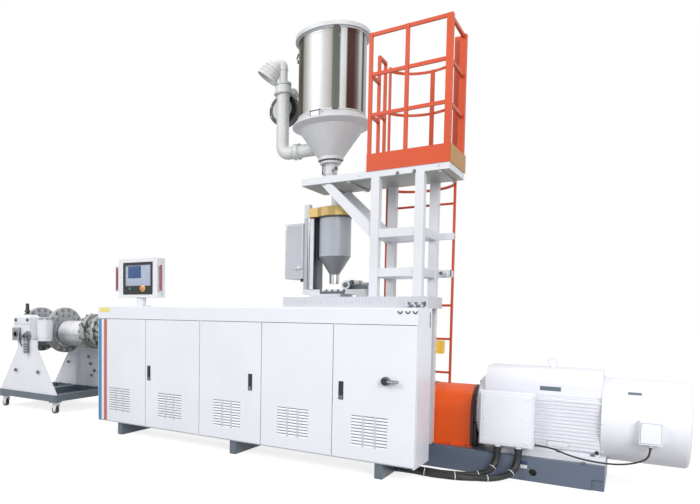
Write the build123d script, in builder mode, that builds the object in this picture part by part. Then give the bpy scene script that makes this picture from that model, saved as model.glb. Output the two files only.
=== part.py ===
from build123d import *
from math import radians, tan
import os

os.makedirs("parts", exist_ok=True)

# Frame: X along the machine, Y away from the cabinet doors, Z up, floor at z = 0.
# The origin is the middle of the underside of the centre foot.

# Cabinet in front of the machine
CAB_LEFT = -1400
CAB_FRONT = -800
CAB_DEPTH = 405
DOOR_PITCH = 730
DOOR_COUNT = 5
CAB_RIGHT = CAB_LEFT + DOOR_PITCH * DOOR_COUNT
CAB_BACK = CAB_FRONT + CAB_DEPTH
CAB_BOTTOM = 134
CAB_TOP = 1454
CAB_SHEET = 20
CAB_FLOOR = 40
BAND_BOTTOM = 1315
BAND_EDGE = 8
DOOR_BOTTOM = 150
DOOR_TOP = 1310
DOOR_THICK = 25
DOOR_GAP = 8
DOOR_SKIN = 10
DOOR_RIM = 30
DOOR_BACK_GAP = 1
LOUVRE_X = 180
LOUVRE_WIDTH = 320
LOUVRE_BOTTOM = 265
LOUVRE_HEIGHT = 270
LOUVRE_SLATS = 10
LOUVRE_DEPTH = 7
HANDLE_WIDTH = 38
HANDLE_HEIGHT = 150
HANDLE_Z = 735
HANDLE_POCKET = 7
PIN_RADIUS = 4
PIN_CLEARANCE = 0.05
PIN_INSET = 5
PIN_REACH = 20
LUG_DROP = 5

# Machine axis
AXIS_Y = 300
SCREW_Z = 1106
MOTOR_Z = 550
FEED_X = 1000

# Cross beams and bed
BEAM_X = (-1085, 450)
END_BEAM_X = 1935
BEAM_WIDTH = 70
BEAM_FRONT = -765
BEAM_BACK = 620
FOOT_FRONT = -250
BED_LEFT = -1150
BED_TOP = 640
BED_HALF = 250
BED_PANELS = 4
PANEL_MARGIN = 50
PANEL_DEPTH = 12
SADDLE_HALF = 160
SADDLE_WIDTH = 90

# Drive base, gearbox and coupling guard
BASE_LEFT = 1180
BASE_RIGHT = 3530
BASE_FRONT = -55
BASE_BACK = 655
BASE_HEIGHT = 205
BASE_HOLE_X = 3020
BASE_HOLE_Z = 78
BASE_HOLE_RADIUS = 32
BASE_HOLE_DEPTH = 60
BASE_NOTCH = 90
BASE_NOTCH_DEPTH = 15
GEAR_LEFT = 1250
GEAR_WIDTH = 410
GEAR_HALF = 290
GEAR_TOP = 1400
GEAR_FLANGE = 30
GEAR_EDGE = 25
STAGE_LENGTH = 440
STAGE_HALF = 235
STAGE_TOP = 730
COUPLING_LEFT = 2125
COUPLING_RIGHT = 2510
COUPLING_HALF = 240
COUPLING_TOP = 750
COUPLING_FLANGE = 30

# Motor
SHAFT_RADIUS = 45
SHIELD_LEFT = 2545
SHIELD_RADIUS = 295
MOTOR_LEFT = 2610
MOTOR_HALF = 300
CORE_HALF = 245
FIN_BOTTOM = 290
FIN_TOP = 710
FIN_COUNT = 14
FIN_THICK = 9
HOOD_HALF = 255
HOOD_TOP = 950
HOOD_ROUND = 130
FOOT_LEFT = 2750
FOOT_WIDTH = 110
FOOT_HEIGHT = 60
EYE_X = 3110
EYE_RADIUS = 42
EYE_TUBE = 11
COWL_LEFT = 3490
COWL_RIGHT = 4070
COWL_RADIUS = 342
COWL_EDGE = 28
COWL_BOX_X = 3815
COWL_BOX_WIDTH = 143
COWL_BOX_BOTTOM = 430
COWL_BOX_HEIGHT = 176
COWL_BOX_PROUD = 75
TERM_LEFT = 2612
TERM_WIDTH = 398
TERM_DEPTH = 130
TERM_BOTTOM = 295
TERM_HEIGHT = 445
TERM_LIP = 14
GLAND_RADIUS = 30
SIDE_GLAND = 12
GLAND_LENGTH = 20
GLAND_X = (2748, 2911)
GLAND_INSET = 40
SIDE_GLAND_Z = 320

# Barrel, cover and feed section
BARREL_LEFT = -2200
BARREL_RADIUS = 110
FLANGE_RADIUS = 190
FLANGE_WIDTH = 80
COVER_LEFT = -2040
COVER_RIGHT = 610
COVER_HALF = 260
COVER_ROUND = 60
COVER_SLOTS = 12
FEED_HALF = 250
FEED_SIDE = 210
FEED_COLLAR = 215
FEED_THROAT = 130
FEED_FLANGE = 170
FEED_TOP = 1600
FEED_PLATE = 30

# Operator panel
HMI_X = -900
HMI_Y = -615
HMI_WIDTH = 580
HMI_DEPTH = 130
HMI_BOTTOM = 1554
HMI_TOP = 1990
SPIGOT_RADIUS = 20
SPIGOT_HEIGHT = 60
BEZEL_HALF = 223
BEZEL_BOTTOM = 1586
BEZEL_TOP = 1947
BEZEL_DEPTH = 5
SCREEN_HALF = 189
SCREEN_BOTTOM = 1685
SCREEN_TOP = 1917
SCREEN_DEPTH = 9
BAIL_BOTTOM = 1630
BAIL_TOP = 1905
BAIL_REACH = 48
BAIL_SIZE = 20
BUTTON_X = (-115, 77)
BUTTON_Z = 1654
BUTTON_RADIUS = (16, 24)
BUTTON_PROUD = (10, 28)

# Deck and feeder
DECK_LEFT = 850
DECK_RIGHT = 2240
DECK_FRONT = -500
DECK_TOP = 1555
DECK_SLOTS = 40
DECK_SLOT_WIDTH = 12
DECK_SLOT_HEIGHT = 45
DECK_SLOT_DEPTH = 10
RAIL_LEFT = 830
RAIL_RIGHT = 1430
RAIL_HALF = 150
RAIL_HEIGHT = 50
RAIL_WIDTH = 50
SLIDE_LEFT = 1170
SLIDE_TOP = 1740
COLUMN_LEFT = 730
COLUMN_SIZE = 60
COLUMN_TOP = 2560
COLUMN_OFFSET = 100
VESSEL_X = 1030
BOX_LEFT = 510
BOX_BOTTOM = 1770
BOX_TOP = 2360
VESSEL_RADIUS = 166
VESSEL_BOTTOM = 2000
VESSEL_TOP = 2510
SPOUT_RADIUS = 49
SPOUT_TOP = 1810
SPOUT_BOTTOM = 1715
RING_RADIUS = 205
RING_SIDES = 16
RING_BOTTOM = 2418

# Dryer hopper and air duct
DRYER_X = 962
PIPE_FOOT = 45
NECK_RADIUS = 68
NECK_FLANGE = 75
NECK_BOTTOM = 2700
NECK_RING = 110
NECK_STEPS = (2985, 3005, 3020)
NECK_TOP = 3050
FLANGE_THICK = 30
CONE_RADIUS = 134
SHOULDER_RADIUS = 335
SHOULDER_Z = 3335
SKIRT_RADIUS = 410
SKIRT_Z = 3370
SKIRT_EDGE = 12
DRUM_RADIUS = 352
DRUM_BOTTOM = 3450
DRUM_TOP = 4265
RIM_RADIUS = 390
RIM_HEIGHT = 40
LID_HEIGHT = 90
LID_FLAT = 160
STRIP_WIDTH = 60
STRIP_PROUD = 14
STRIP_ANGLE = -60
HATCH_WIDTH = 125
HATCH_BOTTOM = 3378
HATCH_HEIGHT = 72
HATCH_PROUD = 398
HATCH_BACK = 250
DUCT_X = 375
DUCT_RADIUS = 70
DUCT_Z = 3172
DUCT_BEND = 1.3
JOINT_X = 540
JOINT_RADIUS = 82
JOINT_WIDTH = 42
COLLAR_BOTTOM = 3825
COLLAR_TOP = 3940
COLLAR_RADIUS = (100, 84)
HORN_RISE = 445
HORN_CORNER = COLLAR_BOTTOM + HORN_RISE
HORN_DROP = 250
HORN_RADIUS = 46
HORN_NECK = 84
HORN_BEND = 50
HORN_MOUTH = (195, 235, HORN_CORNER - HORN_DROP)
HORN_SHARE = (0.46, 0.62)
MOUTH_RADIUS = 124
MOUTH_DEPTH = 40
HORN_WALL = 6
BLOWER_X = 308
BLOWER_Z = 3706
BLOWER_RADIUS = 172
BLOWER_HUB = 118
BLOWER_DEPTH = 150
BLOWER_RECESS = 5

# Tower, platform and guard
TOWER_LEFT = 1715
TOWER_RIGHT = 2180
TOWER_FRONT = -493
TOWER_BACK = 28
POST = 75
SIDE_BOX_X = (2120, 2240)
SIDE_BOX_Z = (1040, 1160)
SIDE_BOX_DEPTH = 72
BEAM_Z = (1770, 2115)
BEAM_HEIGHT = 75
BRACE_LEFT = 1220
BRACE_WIDTH = 100
BRACE_THICK = 45
PLAT_LEFT = 1024
PLAT_RIGHT = 2383
PLAT_BOTTOM = 2609
PLAT_TOP = 2673
PLAT_RIM = 12
GUARD_LEFT = 1670
GUARD_MID = 1992
GUARD_TOP = 3873
RAIL = 50
RAIL_THICK = 22
RAIL_DEEP = 30
SLIM = 30
GUARD_RAIL_Z = (3161, 3513)
TOE_HEIGHT = 144
TOE_THICK = 8
GRAB_FRONT = -271
GRAB_BACK = -85
GRAB_TOP = 3755
GRAB_CROSS = 3215
GRAB_BAR = 26

# Ladder
LADDER_Y = 75
LADDER_LEFT = 1660
LADDER_RIGHT = 2306
LADDER_BOTTOM = 770
LADDER_TOP = 3765
STILE_TOP = 3900
STILE_PLATE = 45
STILE_WIDTH = 18
STILE_DEPTH = 30
RUNG_RADIUS = 11
RUNG_PITCH = 310
FIRST_RUNG = 866
RUNG_COUNT = 6
BOW_Z = (2600, 3338, 3738)
BOW_DEPTH = 220
BOW_HEIGHT = 25
BOW_THICK = 8
STRAP_BOTTOM = 3005
STRAP_LEFT = 2
STRAP_WIDTH = 40

# Die cart
CART_LEFT = -3900
CART_RIGHT = -2670
CART_FRONT = -380
CART_BACK = 680
CART_BOTTOM = 165
CART_TOP = 255
CART_WALL = 80
CART_FLOOR = 12
WELL_BAR_X = -3360
WELL_BAR = 80
CORNER_SIZE = 120
CORNER_DROP = 15
CORNER_CHAMFER = 30
CASTER_INSET = 70
CASTER_SHIFT = 35
TRAIL = -30
WHEEL_RADIUS = 50
WHEEL_WIDTH = 44
AXLE_RADIUS = 8
AXLE_CLEARANCE = 0.1
FORK_THICK = 6
FORK_GAP = 3
FORK_SWIVEL = 32
STAND_X = -3280
STAND_FOOT = 610
STAND_NECK = 212
STAND_SHOULDER = 860
STAND_TOP = 985
STAND_THICK = 20
FRONT_PLATE = -350
BACK_PLATE = 630
RIB_X = -3355
NECK_EXTRA = 190

# Die head
DISC_X = (-3790, -3250)
DISC_RADIUS = 330
DISC_THICK = 60
DISC_RIM = 26
DISC_RIM_PROUD = 8
PIPE_RADIUS = 170
SHELL_RADIUS = 180
SHELL_DROP = 40
ADAPTER_LEFT = -2680
BLOCK_LEFT = -3570
BLOCK_RIGHT = -3300
BLOCK_TOP = 1330
BLOCK_CHAMFER = 40
DRUM2_X = -3140
DRUM2_Y = -160
DRUM2_RADIUS = 106
DRUM2_BOTTOM = 965
DRUM2_TOP = 1265

FITTING_X = -3256
FITTING_Z = 1036
FITTING_RADIUS = 72
FITTING_DROP = 240
FITTING_STEM = 32
SQUARE_LEFT = -3562
SQUARE_WIDTH = 157
SQUARE_HEIGHT = 185
SQUARE_DEPTH = 40
SQUARE_BORE = 32
SQUARE_BOTTOM = 965
LEVER_X = -3392
LEVER_FOOT = 58
LEVER_RADIUS = 20
LEVER_RISE = 36
LEVER_HEIGHT = 160

# Cables
MAIN_CABLE = 40
CABLE_END_Y = (-375, -450)
CABLE_END_Z = 38
CABLE_DROP = 120
FAN_CABLE = 14
COWL_GLAND_INSET = 32
COWL_GLAND_Y = AXIS_Y - COWL_RADIUS - COWL_BOX_PROUD + COWL_GLAND_INSET


# Shared shapes

def block(x0, x1, y0, y1, z0, z1, mode=Mode.ADD):
    with Locations(((x0 + x1) / 2, (y0 + y1) / 2, (z0 + z1) / 2)):
        Box(x1 - x0, y1 - y0, z1 - z0, mode=mode)


def rod_x(radius, x0, x1, y, z, mode=Mode.ADD):
    with Locations(Location(((x0 + x1) / 2, y, z), (0, 90, 0))):
        Cylinder(radius, x1 - x0, mode=mode)


def rod_y(radius, y0, y1, x, z, mode=Mode.ADD):
    with Locations(Location((x, (y0 + y1) / 2, z), (90, 0, 0))):
        Cylinder(radius, y1 - y0, mode=mode)


def rod_z(radius, z0, z1, x, y, mode=Mode.ADD):
    with Locations((x, y, (z0 + z1) / 2)):
        Cylinder(radius, z1 - z0, mode=mode)


def turned_x(profile, z):
    # Profile points are (x, radius) about the machine axis at height z.
    with BuildSketch(Plane.XZ.offset(-AXIS_Y)) as section:
        with BuildLine():
            Polyline(*[(x, z + radius) for x, radius in profile], close=True)
        make_face()
    revolve(section.sketch, axis=Axis((0, AXIS_Y, z), (1, 0, 0)))


def turned_z(profile, x):
    # Profile points are (radius, z) about the vertical line at x over the machine axis.
    with BuildSketch(Plane.XZ.offset(-AXIS_Y)) as section:
        with BuildLine():
            Polyline(*[(x + radius, z) for radius, z in profile], close=True)
        make_face()
    revolve(section.sketch, axis=Axis((x, AXIS_Y, 0), (0, 0, 1)))


# Cross beams and bed

BEAM_SIDE = END_BEAM_X + BEAM_WIDTH / 2
with BuildPart() as base_frame:
    for x in BEAM_X:
        block(x - BEAM_WIDTH / 2, x + BEAM_WIDTH / 2, BEAM_FRONT, BEAM_BACK, 0, CAB_BOTTOM)
    block(END_BEAM_X - BEAM_WIDTH / 2, END_BEAM_X + BEAM_WIDTH / 2, BEAM_FRONT, BASE_FRONT, 0, CAB_BOTTOM)
    block(-BEAM_WIDTH / 2, BEAM_WIDTH / 2, FOOT_FRONT, BEAM_BACK, 0, CAB_BOTTOM)
    fillet(base_frame.edges().filter_by(Axis.Z), BEAM_WIDTH / 10)
    for y in CABLE_END_Y:
        rod_x(GLAND_RADIUS, BEAM_SIDE, BEAM_SIDE + GLAND_LENGTH, y, CABLE_END_Z)
base_frame.part.label = "base_frame"
export_step(base_frame.part, "parts/base_frame.step")

PANEL_LENGTH = (BASE_LEFT - BED_LEFT - PANEL_MARGIN) / BED_PANELS
COVER_BOTTOM = SCREW_Z - COVER_HALF
with BuildPart() as bed:
    block(BED_LEFT, BASE_LEFT, AXIS_Y - BED_HALF, AXIS_Y + BED_HALF, CAB_BOTTOM, BED_TOP)
    fillet(bed.edges().filter_by(Axis.X).group_by(Axis.Z)[-1], PANEL_DEPTH)
    for i in range(BED_PANELS):
        x = BED_LEFT + PANEL_MARGIN + i * PANEL_LENGTH
        for y in (AXIS_Y - BED_HALF, AXIS_Y + BED_HALF):
            block(
                x, x + PANEL_LENGTH - PANEL_MARGIN, y - PANEL_DEPTH, y + PANEL_DEPTH,
                CAB_BOTTOM + PANEL_MARGIN, BED_TOP - PANEL_MARGIN, mode=Mode.SUBTRACT,
            )
    for x in (BED_LEFT + SADDLE_WIDTH, (BED_LEFT + COVER_RIGHT) / 2, COVER_RIGHT - SADDLE_WIDTH):
        block(
            x - SADDLE_WIDTH / 2, x + SADDLE_WIDTH / 2, AXIS_Y - SADDLE_HALF, AXIS_Y + SADDLE_HALF,
            BED_TOP, COVER_BOTTOM,
        )
bed.part.label = "bed"
export_step(bed.part, "parts/bed.step")


# Barrel, cover and feed section

FEED_LEFT = FEED_X - FEED_HALF
with BuildPart() as barrel:
    turned_x(
        (
            (BARREL_LEFT, 0),
            (BARREL_LEFT, FLANGE_RADIUS),
            (BARREL_LEFT + FLANGE_WIDTH, FLANGE_RADIUS),
            (BARREL_LEFT + FLANGE_WIDTH, BARREL_RADIUS * 1.2),
            (BARREL_LEFT + FLANGE_WIDTH * 2, BARREL_RADIUS),
            (FEED_LEFT, BARREL_RADIUS),
            (FEED_LEFT, 0),
        ),
        SCREW_Z,
    )
barrel.part.label = "barrel"
export_step(barrel.part, "parts/barrel.step")

SLOT_PITCH = (COVER_RIGHT - COVER_LEFT) / (COVER_SLOTS + 1)
with BuildPart() as barrel_cover:
    block(
        COVER_LEFT, COVER_RIGHT, AXIS_Y - COVER_HALF, AXIS_Y + COVER_HALF,
        COVER_BOTTOM, SCREW_Z + COVER_HALF,
    )
    fillet(barrel_cover.edges().filter_by(Axis.X).group_by(Axis.Z)[-1], COVER_ROUND)
    for i in range(COVER_SLOTS):
        with Locations((COVER_LEFT + (i + 1) * SLOT_PITCH, AXIS_Y, SCREW_Z + COVER_HALF)):
            Box(SLOT_PITCH / 4, COVER_HALF, PANEL_DEPTH, mode=Mode.SUBTRACT)
    rod_x(BARREL_RADIUS, COVER_LEFT, COVER_RIGHT, AXIS_Y, SCREW_Z, mode=Mode.SUBTRACT)
barrel_cover.part.label = "barrel_cover"
export_step(barrel_cover.part, "parts/barrel_cover.step")

with BuildPart() as feed_section:
    block(FEED_LEFT, GEAR_LEFT, AXIS_Y - FEED_SIDE, AXIS_Y + FEED_SIDE, BED_TOP, SCREW_Z)
    rod_x(FEED_COLLAR, FEED_LEFT, GEAR_LEFT, AXIS_Y, SCREW_Z)
    with BuildSketch(Plane.XY.offset(SCREW_Z)):
        with Locations((FEED_X, AXIS_Y)):
            Rectangle(FEED_FLANGE * 2, FEED_FLANGE * 2)
    with BuildSketch(Plane.XY.offset(FEED_TOP - FEED_PLATE)):
        with Locations((FEED_X, AXIS_Y)):
            Rectangle(FEED_THROAT * 2, FEED_THROAT * 2)
    loft()
    block(
        FEED_X - FEED_FLANGE, FEED_X + FEED_FLANGE, AXIS_Y - FEED_FLANGE, AXIS_Y + FEED_FLANGE,
        FEED_TOP - FEED_PLATE, FEED_TOP,
    )
feed_section.part.label = "feed_section"
export_step(feed_section.part, "parts/feed_section.step")


# Drive base, gearbox and coupling guard

with BuildPart() as drive_base:
    block(BASE_LEFT, BASE_RIGHT, BASE_FRONT, BASE_BACK, 0, BASE_HEIGHT)
    chamfer(drive_base.edges().group_by(Axis.Z)[-1], BASE_NOTCH_DEPTH / 2)
    rod_y(
        BASE_HOLE_RADIUS, BASE_FRONT, BASE_FRONT + BASE_HOLE_DEPTH, BASE_HOLE_X, BASE_HOLE_Z,
        mode=Mode.SUBTRACT,
    )
    block(
        BASE_RIGHT - BASE_NOTCH, BASE_RIGHT, BASE_FRONT, BASE_FRONT + BASE_NOTCH_DEPTH,
        0, BASE_NOTCH, mode=Mode.SUBTRACT,
    )
drive_base.part.label = "drive_base"
export_step(drive_base.part, "parts/drive_base.step")

GEAR_RIGHT = GEAR_LEFT + GEAR_WIDTH
STAGE_RIGHT = GEAR_RIGHT + STAGE_LENGTH
with BuildPart() as gearbox:
    block(GEAR_LEFT, GEAR_RIGHT, AXIS_Y - GEAR_HALF, AXIS_Y + GEAR_HALF, BASE_HEIGHT, GEAR_TOP)
    fillet(gearbox.edges().filter_by(Axis.Z), GEAR_EDGE)
    fillet(gearbox.faces().sort_by(Axis.Z)[-1].edges(), GEAR_EDGE)
    for z in (SCREW_Z, STAGE_TOP - GEAR_FLANGE):
        block(
            GEAR_LEFT, GEAR_RIGHT, AXIS_Y - GEAR_HALF - GEAR_FLANGE,
            AXIS_Y + GEAR_HALF + GEAR_FLANGE, z - GEAR_FLANGE / 2, z + GEAR_FLANGE / 2,
        )
    block(GEAR_RIGHT, STAGE_RIGHT, AXIS_Y - STAGE_HALF, AXIS_Y + STAGE_HALF, BASE_HEIGHT, STAGE_TOP)
    block(
        GEAR_RIGHT, STAGE_RIGHT, AXIS_Y - STAGE_HALF - GEAR_EDGE, AXIS_Y + STAGE_HALF + GEAR_EDGE,
        MOTOR_Z - GEAR_FLANGE / 2, MOTOR_Z + GEAR_FLANGE / 2,
    )
    rod_x(STAGE_HALF / 2, STAGE_RIGHT, COUPLING_LEFT, AXIS_Y, MOTOR_Z)
gearbox.part.label = "gearbox"
export_step(gearbox.part, "parts/gearbox.step")

with BuildPart() as coupling_guard:
    with BuildSketch(Plane.YZ.offset(COUPLING_LEFT)):
        with Locations((AXIS_Y, COUPLING_TOP - COUPLING_HALF)):
            Circle(COUPLING_HALF)
        with Locations((AXIS_Y, (BASE_HEIGHT + COUPLING_TOP - COUPLING_HALF) / 2)):
            Rectangle(COUPLING_HALF * 2, COUPLING_TOP - COUPLING_HALF - BASE_HEIGHT)
        with Locations((AXIS_Y, BASE_HEIGHT + TOE_THICK / 2)):
            Rectangle((COUPLING_HALF + COUPLING_FLANGE) * 2, TOE_THICK)
    extrude(amount=COUPLING_RIGHT - COUPLING_LEFT)
coupling_guard.part.label = "coupling_guard"
export_step(coupling_guard.part, "parts/coupling_guard.step")


# Motor

FIN_PITCH = (FIN_TOP - FIN_BOTTOM) / FIN_COUNT
with BuildPart() as motor_body:
    rod_x(SHIELD_RADIUS, SHIELD_LEFT, MOTOR_LEFT, AXIS_Y, MOTOR_Z)
    fillet(motor_body.edges().filter_by(GeomType.CIRCLE).group_by(Axis.X)[0], COWL_EDGE)
    rod_x(SHAFT_RADIUS, COUPLING_RIGHT, SHIELD_LEFT, AXIS_Y, MOTOR_Z)
    block(MOTOR_LEFT, COWL_LEFT, AXIS_Y - CORE_HALF, AXIS_Y + CORE_HALF, FIN_BOTTOM, FIN_TOP)
    for i in range(FIN_COUNT):
        z = FIN_BOTTOM + (i + 0.5) * FIN_PITCH
        block(
            MOTOR_LEFT, COWL_LEFT, AXIS_Y - MOTOR_HALF, AXIS_Y + MOTOR_HALF,
            z - FIN_THICK / 2, z + FIN_THICK / 2,
        )
    with BuildSketch(Plane.YZ.offset(MOTOR_LEFT)):
        with BuildLine():
            FilletPolyline(
                (AXIS_Y - HOOD_HALF, FIN_TOP - FIN_PITCH / 2),
                (AXIS_Y - HOOD_HALF, HOOD_TOP),
                (AXIS_Y + HOOD_HALF, HOOD_TOP),
                (AXIS_Y + HOOD_HALF, FIN_TOP - FIN_PITCH / 2),
                radius=HOOD_ROUND,
            )
            Line(
                (AXIS_Y + HOOD_HALF, FIN_TOP - FIN_PITCH / 2),
                (AXIS_Y - HOOD_HALF, FIN_TOP - FIN_PITCH / 2),
            )
        make_face()
    extrude(amount=COWL_LEFT - MOTOR_LEFT)
    for y in (AXIS_Y - CORE_HALF, AXIS_Y + CORE_HALF):
        block(
            FOOT_LEFT, BASE_RIGHT, y - FOOT_WIDTH / 2, y + FOOT_WIDTH / 2,
            BASE_HEIGHT, BASE_HEIGHT + FOOT_HEIGHT,
        )
        block(
            FOOT_LEFT, COWL_LEFT, y - FOOT_WIDTH / 4, y + FOOT_WIDTH / 4,
            BASE_HEIGHT, FIN_BOTTOM + FIN_PITCH,
        )
    rod_z(EYE_TUBE * 2, HOOD_TOP - EYE_TUBE, HOOD_TOP + EYE_TUBE * 2, EYE_X, AXIS_Y)
    with Locations(Location((EYE_X, AXIS_Y, HOOD_TOP + EYE_TUBE + EYE_RADIUS), (90, 0, 0))):
        Torus(EYE_RADIUS - EYE_TUBE, EYE_TUBE)
motor_body.part.label = "motor_body"
export_step(motor_body.part, "parts/motor_body.step")

TERM_BACK = AXIS_Y - MOTOR_HALF
TERM_FRONT = TERM_BACK - TERM_DEPTH
SIDE_GLAND_INSET = 45
SIDE_GLAND_Y = TERM_FRONT + SIDE_GLAND_INSET
TERM_RIGHT = TERM_LEFT + TERM_WIDTH
TERM_TOP = TERM_BOTTOM + TERM_HEIGHT
with BuildPart() as terminal_box:
    block(TERM_LEFT, TERM_RIGHT, TERM_FRONT, TERM_BACK, TERM_BOTTOM, TERM_TOP)
    fillet(terminal_box.edges().filter_by(Axis.Y), TERM_LIP)
    block(
        TERM_LEFT - TERM_LIP, TERM_RIGHT + TERM_LIP, TERM_FRONT + TERM_LIP * 2, TERM_FRONT + TERM_LIP * 3,
        TERM_BOTTOM - TERM_LIP, TERM_TOP + TERM_LIP,
    )
    for x in GLAND_X:
        rod_z(GLAND_RADIUS, TERM_BOTTOM - GLAND_LENGTH, TERM_BOTTOM, x, TERM_FRONT + GLAND_INSET)
    rod_x(SIDE_GLAND, TERM_RIGHT, TERM_RIGHT + GLAND_LENGTH, SIDE_GLAND_Y, SIDE_GLAND_Z)
terminal_box.part.label = "terminal_box"
export_step(terminal_box.part, "parts/terminal_box.step")

COWL_FRONT = AXIS_Y - COWL_RADIUS
BOX_FRONT = COWL_FRONT - COWL_BOX_PROUD
with BuildPart() as fan_cowl:
    rod_x(COWL_RADIUS, COWL_LEFT, COWL_RIGHT, AXIS_Y, MOTOR_Z)
    fillet(fan_cowl.edges().filter_by(GeomType.CIRCLE).group_by(Axis.X)[-1], COWL_EDGE)
    rod_x(COWL_RADIUS * 0.7, COWL_RIGHT - PANEL_DEPTH, COWL_RIGHT, AXIS_Y, MOTOR_Z, mode=Mode.SUBTRACT)
    for share in (0.62, 0.42, 0.22):
        rod_x(COWL_RADIUS * share, COWL_RIGHT - PANEL_DEPTH, COWL_RIGHT, AXIS_Y, MOTOR_Z)
        rod_x(
            COWL_RADIUS * (share - 0.08), COWL_RIGHT - PANEL_DEPTH, COWL_RIGHT, AXIS_Y, MOTOR_Z,
            mode=Mode.SUBTRACT,
        )
    block(
        COWL_BOX_X - COWL_BOX_WIDTH / 2, COWL_BOX_X + COWL_BOX_WIDTH / 2, BOX_FRONT, COWL_FRONT + COWL_EDGE * 2,
        COWL_BOX_BOTTOM, COWL_BOX_BOTTOM + COWL_BOX_HEIGHT,
    )
    rod_z(SIDE_GLAND, COWL_BOX_BOTTOM - GLAND_LENGTH, COWL_BOX_BOTTOM, COWL_BOX_X, COWL_GLAND_Y)
fan_cowl.part.label = "fan_cowl"
export_step(fan_cowl.part, "parts/fan_cowl.step")


# Cabinet

INNER_FRONT = CAB_FRONT + DOOR_THICK + DOOR_BACK_GAP
INNER_BACK = CAB_BACK - CAB_SHEET
WALL_BOTTOM = CAB_BOTTOM + CAB_FLOOR
PIN_Y = CAB_FRONT + PIN_INSET
LEFT_HINGED = (1, 3)
RIGHT_HINGED = (2, 4, 5)
BAY_BOUNDS = (2, 4)


def door_left(number):
    return CAB_LEFT + (number - 1) * DOOR_PITCH + DOOR_GAP / 2


def door_right(number):
    return CAB_LEFT + number * DOOR_PITCH - DOOR_GAP / 2


PIN_X = {}
for number in LEFT_HINGED:
    PIN_X[number] = door_left(number) + PIN_INSET
for number in RIGHT_HINGED:
    PIN_X[number] = door_right(number) - PIN_INSET

with BuildPart() as cabinet_back:
    block(CAB_LEFT, CAB_RIGHT, INNER_BACK, CAB_BACK, CAB_BOTTOM, BAND_BOTTOM)
cabinet_back.part.label = "cabinet_back"
export_step(cabinet_back.part, "parts/cabinet_back.step")

with BuildPart() as cabinet_floor:
    block(CAB_LEFT, CAB_RIGHT, INNER_FRONT, INNER_BACK, CAB_BOTTOM, WALL_BOTTOM)
    for x in PIN_X.values():
        block(
            x - PIN_INSET, x + PIN_INSET, PIN_Y - PIN_INSET, INNER_FRONT,
            CAB_BOTTOM, DOOR_BOTTOM - LUG_DROP,
        )
        rod_z(PIN_RADIUS, DOOR_BOTTOM - LUG_DROP, DOOR_BOTTOM + PIN_REACH, x, PIN_Y)
cabinet_floor.part.label = "cabinet_floor"
export_step(cabinet_floor.part, "parts/cabinet_floor.step")

with BuildPart() as cabinet_roof:
    block(CAB_LEFT, CAB_RIGHT, CAB_FRONT, CAB_BACK, BAND_BOTTOM, CAB_TOP)
    fillet(cabinet_roof.edges().filter_by(Axis.X).group_by(Axis.Z)[-1], BAND_EDGE)
    for x in PIN_X.values():
        rod_z(PIN_RADIUS, DOOR_TOP - PIN_REACH, BAND_BOTTOM, x, PIN_Y)
cabinet_roof.part.label = "cabinet_roof"
export_step(cabinet_roof.part, "parts/cabinet_roof.step")

with BuildPart() as cabinet_walls:
    block(CAB_LEFT, CAB_LEFT + CAB_SHEET, INNER_FRONT, INNER_BACK, WALL_BOTTOM, BAND_BOTTOM)
    block(CAB_RIGHT - CAB_SHEET, CAB_RIGHT, INNER_FRONT, INNER_BACK, WALL_BOTTOM, BAND_BOTTOM)
    for bound in BAY_BOUNDS:
        x = CAB_LEFT + bound * DOOR_PITCH
        block(x - CAB_SHEET, x + CAB_SHEET, INNER_FRONT, INNER_BACK, WALL_BOTTOM, BAND_BOTTOM)
cabinet_walls.part.label = "cabinet_walls"
export_step(cabinet_walls.part, "parts/cabinet_walls.step")

BAY_EDGES = ((0, 2), (2, 4), (4, 5))
GEAR_ROWS = 4
GEAR_DEPTH = 90
with BuildPart() as cabinet_gear:
    for first, last in BAY_EDGES:
        x0 = CAB_LEFT + first * DOOR_PITCH + CAB_SHEET * 3
        x1 = CAB_LEFT + last * DOOR_PITCH - CAB_SHEET * 3
        block(x0, x1, INNER_BACK - CAB_SHEET, INNER_BACK, WALL_BOTTOM, BAND_BOTTOM)
        rise = (BAND_BOTTOM - WALL_BOTTOM) / GEAR_ROWS
        columns = (last - first) * 3
        run = (x1 - x0) / columns
        for row in range(GEAR_ROWS):
            for column in range(columns):
                depth = GEAR_DEPTH * (1 - 0.15 * ((row + column) % 3))
                block(
                    x0 + run * (column + 0.12), x0 + run * (column + 0.88),
                    INNER_BACK - CAB_SHEET - depth, INNER_BACK - CAB_SHEET,
                    WALL_BOTTOM + rise * (row + 0.15), WALL_BOTTOM + rise * (row + 0.8),
                )
cabinet_gear.part.label = "cabinet_gear"
export_step(cabinet_gear.part, "parts/cabinet_gear.step")


# Doors: a folded pan with a pressed louvre, a flush handle and holes for the hinge pins

HANDLE_X = {2: 50, 3: 610, 5: 80}


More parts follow.
